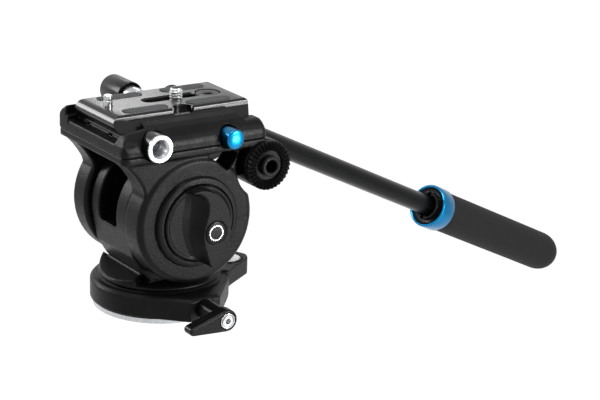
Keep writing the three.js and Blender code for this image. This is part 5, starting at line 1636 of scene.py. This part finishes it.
def addFloor():
    s = studioFloor
    low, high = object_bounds()
    half = s["size"] / 2
    handleReach = math.hypot(high[0], tiltZ * mm - low[2])
    height = tiltZ * mm - handleReach - s["below"] * mm
    data = bpy.data.meshes.new("studio_floor")
    corners = [(x * half, y * half, height) for x, y in ((-1, -1), (1, -1), (1, 1), (-1, 1))]
    data.from_pydata(corners, [], [(0, 1, 2, 3)])
    floor = bpy.data.objects.new("studio_floor", data)
    sceneData.collection.objects.link(floor)
    material, tree, spot = blankMaterial("white_studio_paper")
    paper = addNode(tree, "ShaderNodeBsdfDiffuse", {"Color": linear(s["colour"])})
    strength = addNode(tree, "ShaderNodeMapRange", {
        "From Min": s["nearRadius"], "From Max": s["farRadius"], "To Min": s["nearLift"],
        "To Max": s["farLift"],
    }, {"Value": distanceFrom(tree, spot, 0, 0)})
    lift = addNode(
        tree, "ShaderNodeEmission", {"Color": (1, 1, 1, 1)}, {"Strength": strength.outputs["Result"]},
    )
    both = addNode(tree, "ShaderNodeAddShader", links={0: paper.outputs["BSDF"], 1: lift.outputs["Emission"]})
    seen = seenDirectly(tree, addNode(tree, "ShaderNodeLightPath"))
    mix = addNode(tree, "ShaderNodeMixShader", links={
        "Fac": seen, 1: paper.outputs["BSDF"], 2: both.outputs["Shader"],
    })
    addNode(tree, "ShaderNodeOutputMaterial", links={"Surface": mix.outputs["Shader"]})
    data.materials.append(material)


# Soft studio light: overhead, from both sides in front, low in front, from behind left, and a strip behind
lamps = {
    "overhead_softbox": {"place": (-120, -60, 950), "aim": (20, 0, 60), "size": 380, "power": 6.0},
    "front_left_softbox": {"place": (-900, -350, 450), "aim": (0, 0, 50), "size": 260, "power": 1.0},
    "front_right_softbox": {"place": (440, -790, 270), "aim": (0, 0, 70), "size": 230, "power": 9.5},
    "front_low_softbox": {"place": (460, -790, -110), "aim": (10, 0, 60), "size": 160, "power": 3.0},
    "rear_left_softbox": {"place": (-500, 850, 420), "aim": (60, 60, 40), "size": 380, "power": 6.0},
    "rear_strip": {"place": (474, 905, 430), "aim": (0, 0, 104), "size": 120, "power": 0.2},
}


def addLamps():
    for name, lamp in lamps.items():
        data = bpy.data.lights.new(name, "AREA")
        data.shape = "SQUARE"
        data.size = lamp["size"] * mm
        data.energy = lamp["power"]
        holder = bpy.data.objects.new(name, data)
        spot = Vector(lamp["place"]) * mm
        direction = Vector(lamp["aim"]) * mm - spot
        turn = direction.to_track_quat("-Z", "Y").to_matrix().to_4x4()
        holder.matrix_world = Matrix.Translation(spot) @ turn
        holder.visible_camera = False
        sceneData.collection.objects.link(holder)


# The room lights the head softly, and shows as white to the camera, in reflections and through clear parts
room = {"light": 0.2, "seen": 1.0}


def setWorld():
    world = bpy.data.worlds.new("white_room")
    world.use_nodes = True
    tree = world.node_tree
    tree.nodes.clear()
    path = addNode(tree, "ShaderNodeLightPath")
    white = addNode(tree, "ShaderNodeMath", {"operation": "MAXIMUM"}, {
        0: seenDirectly(tree, path), 1: path.outputs["Is Transmission Ray"],
    })
    soft = addNode(tree, "ShaderNodeBackground", {"Color": (1, 1, 1, 1), "Strength": room["light"]})
    bright = addNode(tree, "ShaderNodeBackground", {"Color": (1, 1, 1, 1), "Strength": room["seen"]})
    mix = addNode(tree, "ShaderNodeMixShader", links={
        "Fac": white.outputs["Value"], 1: soft.outputs["Background"], 2: bright.outputs["Background"],
    })
    addNode(tree, "ShaderNodeOutputWorld", links={"Surface": mix.outputs["Shader"]})
    sceneData.world = world


addFloor()
addLamps()
setWorld()
sceneData.view_settings.view_transform = "Standard"
print("studio lit")
